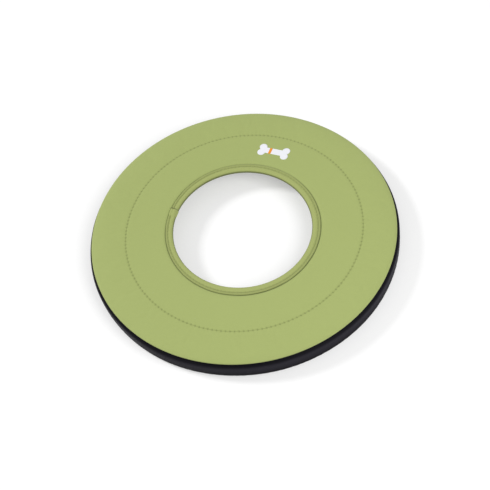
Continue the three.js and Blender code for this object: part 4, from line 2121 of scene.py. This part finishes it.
# ------------------------------------------------------------------------------------ printed mark
@dataclass
class PrintedMark:
    """White bone with an orange stripe, heat-pressed on the web.

    Attributes:
        face: the panel that it lies on.
        angle: its direction from the centre, in radians.
        distance: its distance from the centre, in metres.
        length: its length along the ring, in metres.
        shaft: width of its shaft, in metres.
        spread: distance of each knob's centre from its middle line, in metres.
        knob: radius of each knob, in metres.
        stripe: width of the stripe, in metres.
        stripe_at: place of the stripe along the shaft, in metres.
        film: thickness of the film, in metres.
        ARC_STEPS: edges of each knob's outline.
        GRID: gap between the points inside a film, in metres.
    """

    face: FacePanel
    angle: float = math.radians(61.2)
    distance: float = 79.8 * MM
    length: float = 27.0 * MM
    shaft: float = 5.8 * MM
    spread: float = 2.9 * MM
    knob: float = 3.3 * MM
    stripe: float = 2.2 * MM
    stripe_at: float = -3.0 * MM
    film: float = 0.09 * MM

    ARC_STEPS: ClassVar[int] = 20
    GRID: ClassVar[float] = 0.9 * MM

    def outline(self) -> list[tuple[float, float]]:
        """Draws the bone, along X and centred on the origin.

        Returns:
            Its outline, anticlockwise.
        """
        x = self.length / 2 - self.knob
        crotch = math.asin(self.spread / self.knob)
        neck = math.asin((self.spread - self.shaft / 2) / self.knob)
        arcs = (
            (x, -self.spread, math.pi - neck, TURN + crotch, 0),
            (x, self.spread, -crotch, math.pi + neck, 1),
            (-x, self.spread, -neck, math.pi + crotch, 0),
            (-x, -self.spread, math.pi - crotch, TURN + neck, 1),
        )
        points = []
        for cx, cy, start, end, last in arcs:
            for i in range(self.ARC_STEPS + last):
                a = start + (end - start) * i / self.ARC_STEPS
                points.append((cx + self.knob * math.cos(a), cy + self.knob * math.sin(a)))
        return points

    def make(self) -> list[bpy.types.Object]:
        """Builds the two prints.

        Returns:
            The bone and its stripe.
        """
        half, low = self.stripe / 2, self.stripe_at
        top = self.shaft / 2 + 0.02 * MM
        stripe = [(low - half, -top), (low + half, -top), (low + half, top), (low - half, top)]
        return [
            self._film("print_bone", self.outline(), self.film, WHITE_PRINT, "print_white"),
            self._film("print_stripe", stripe, self.film * 1.9, ORANGE_PRINT, "print_orange"),
        ]

    def _film(
        self, node: str, outline: list[tuple[float, float]], proud: float, finish: Finish, slot: str
    ) -> bpy.types.Object:
        """Lays one film on the face.

        Args:
            node: the CAD film that it stands for.
            outline: its outline, anticlockwise.
            proud: how far its outer side stands above the cloth, in metres.
            finish: its finish.
            slot: the record's slot.

        Returns:
            The finished object.
        """
        edge = [Vector(p) for p in outline]
        x = np.arange(-self.length / 2, self.length / 2, self.GRID)
        y = np.arange(-self.spread - self.knob, self.spread + self.knob, self.GRID)
        inside = [Vector((a, b)) for a in x for b in y]
        count = len(edge)
        points, _, faces, *_ = delaunay_2d_cdt(
            edge + inside, [(i, (i + 1) % count) for i in range(count)], [list(range(count))], 1, 1e-7
        )
        used = sorted({k for f in faces for k in f})
        order = {k: i for i, k in enumerate(used)}
        flat = np.array([points[k] for k in used])
        turn = self.angle - math.pi / 2
        across = flat[:, 1] + self.distance
        px = flat[:, 0] * math.cos(turn) - across * math.sin(turn)
        py = flat[:, 0] * math.sin(turn) + across * math.cos(turn)
        pz = np.array([self.face.top(a, b) for a, b in zip(px, py)]) + proud
        corners = [tuple(order[k] for k in f) for f in faces]
        piece = mesh_object(f"{node}_film", np.stack([px, py, pz], axis=1), corners)
        sew(piece)
        lay_flat_map(piece, FacePanel.WARP)
        dress(piece, finish)
        thicken(piece, proud * 0.9)
        plain_mesh(piece)
        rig.ride(piece, BODY)
        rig.replaces(piece, node)
        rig.slot(piece, slot)
        return piece


# ------------------------------------------------------------------------------------ studio
@dataclass(frozen=True)
class Softbox:
    """A square light that faces the ring.

    Attributes:
        name: its name.
        place: where it stands, in metres.
        size: its side, in metres.
        power: in watts.
    """

    name: str
    place: tuple[float, float, float]
    size: float
    power: float

    def make(self) -> None:
        """Sets it up."""
        lamp = bpy.data.lights.new(self.name, "AREA")
        lamp.shape, lamp.size, lamp.energy = "SQUARE", self.size, self.power
        made = bpy.data.objects.new(self.name, lamp)
        made.location = self.place
        made.rotation_euler = (-Vector(self.place)).to_track_quat("-Z", "Y").to_euler()
        bpy.context.scene.collection.objects.link(made)


@dataclass
class Studio:
    """Floor, lights and camera.

    Attributes:
        floor_z: height of the floor, in metres.
        floor_r: radius of the floor, in metres.
        around: strength of the even light from all round.
        far_floor: how much brighter than that the surroundings look, like the floor's far end.
        distance: from the camera to the middle of the green face, in metres.
        elevation: of the camera above the face, in radians.
        roll: of the camera, in radians; positive turns its up to the left.
        lens: in millimetres.
        aim: the point of the face's plane at the middle of the view, in metres.
        SOFTBOXES: the key light from the left and a fill light from the right.
    """

    floor_z: float = 0.0
    floor_r: float = 6.0
    around: float = 0.42
    far_floor: float = 0.25
    distance: float = 763.2 * MM
    elevation: float = math.radians(53.38)
    roll: float = math.radians(-11.35)
    lens: float = 69.8
    aim: tuple[float, float] = (-0.4 * MM, -17.3 * MM)

    SOFTBOXES: ClassVar[tuple[Softbox, ...]] = (
        Softbox("key_softbox", (-1.45, 0.8, 1.2), 0.45, 24.0),
        Softbox("fill_softbox", (0.48, -0.52, 0.66), 0.6, 5.2),
    )

    def make(self) -> None:
        """Sets up the floor, the lights and the camera."""
        self._floor()
        self._world()
        for softbox in self.SOFTBOXES:
            softbox.make()
        self._camera()
        bpy.context.scene.view_settings.view_transform = "Standard"

    def _floor(self) -> None:
        """A wide round floor."""
        count = 96
        ring = np.arange(count) * TURN / count
        flat = np.full(count, self.floor_z)
        rim = np.stack([self.floor_r * np.cos(ring), self.floor_r * np.sin(ring), flat], axis=1)
        floor = mesh_object("studio_floor", rim, [tuple(range(count))])
        dress(floor, FLOOR)
        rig.stage(floor)

    def _world(self) -> None:
        """Even white surroundings, which look as bright as the far end of the floor."""
        world = bpy.data.worlds.new("studio")
        world.use_nodes = True
        w = Wiring(world.node_tree)
        around = world.node_tree.nodes["Background"]
        around.inputs["Color"].default_value = (1.0, 1.0, 1.0, 1.0)
        seen = w.node("ShaderNodeLightPath").outputs["Is Camera Ray"]
        w.feed(around.inputs["Strength"], w.math("MULTIPLY_ADD", seen, self.far_floor, self.around))
        bpy.context.scene.world = world

    def _camera(self) -> None:
        """The camera, aimed at the face and rolled."""
        middle = Vector((0.0, 0.0, SIZES.green_z))
        towards = Vector((0.0, -math.cos(self.elevation), math.sin(self.elevation)))
        place = middle + self.distance * towards
        back = (place - Vector((*self.aim, SIZES.green_z))).normalized()
        level = Vector((0.0, 0.0, 1.0)).cross(back).normalized()
        upright = back.cross(level)
        right = math.cos(self.roll) * level + math.sin(self.roll) * upright
        up = math.cos(self.roll) * upright - math.sin(self.roll) * level
        lens = bpy.data.cameras.new("camera")
        lens.lens, lens.sensor_width = self.lens, 36.0
        lens.clip_start, lens.clip_end = 0.01, 50.0
        made = bpy.data.objects.new("camera", lens)
        turned = Matrix((right, up, back)).transposed().to_4x4()
        made.matrix_world = Matrix.Translation(place) @ turned
        bpy.context.scene.collection.objects.link(made)
        bpy.context.scene.camera = made


# ------------------------------------------------------------------------------------ the whole ring
def write_sizes() -> None:
    """Writes the CAD box and the finished model's box."""
    boxes = {"cad": CAD_BOX, "visual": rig.bounds()}
    plain = {name: [[float(v) for v in corner] for corner in box] for name, box in boxes.items()}
    with open("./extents.json", "w", encoding="utf-8") as out:
        json.dump(plain, out)


def main() -> None:
    """Builds every piece of the ring, then the studio."""
    logging.basicConfig(level=logging.INFO, format="%(message)s")
    sleeve = RimSleeve()
    sleeve.settle()
    face, tape = FacePanel(sleeve), HoleTape(sleeve)
    cloths = (face, SideBand(sleeve), FootPanel(sleeve), InnerBand(sleeve), WebLining(sleeve), tape)
    pieces = [part.make() for part in (*cloths, TapeLap(tape), FoamCore())]
    tree = StitchTree()
    pieces += [row.make(tree) for row in stitch_rows()]
    pieces += PrintedMark(face).make()
    dress(frame["nodes"]["web_foam"], FOAM)
    for piece in pieces:
        log.info("%s: %d faces", piece.name, len(piece.data.polygons))
    Studio().make()
    write_sizes()


if __name__ == "__main__":
    main()
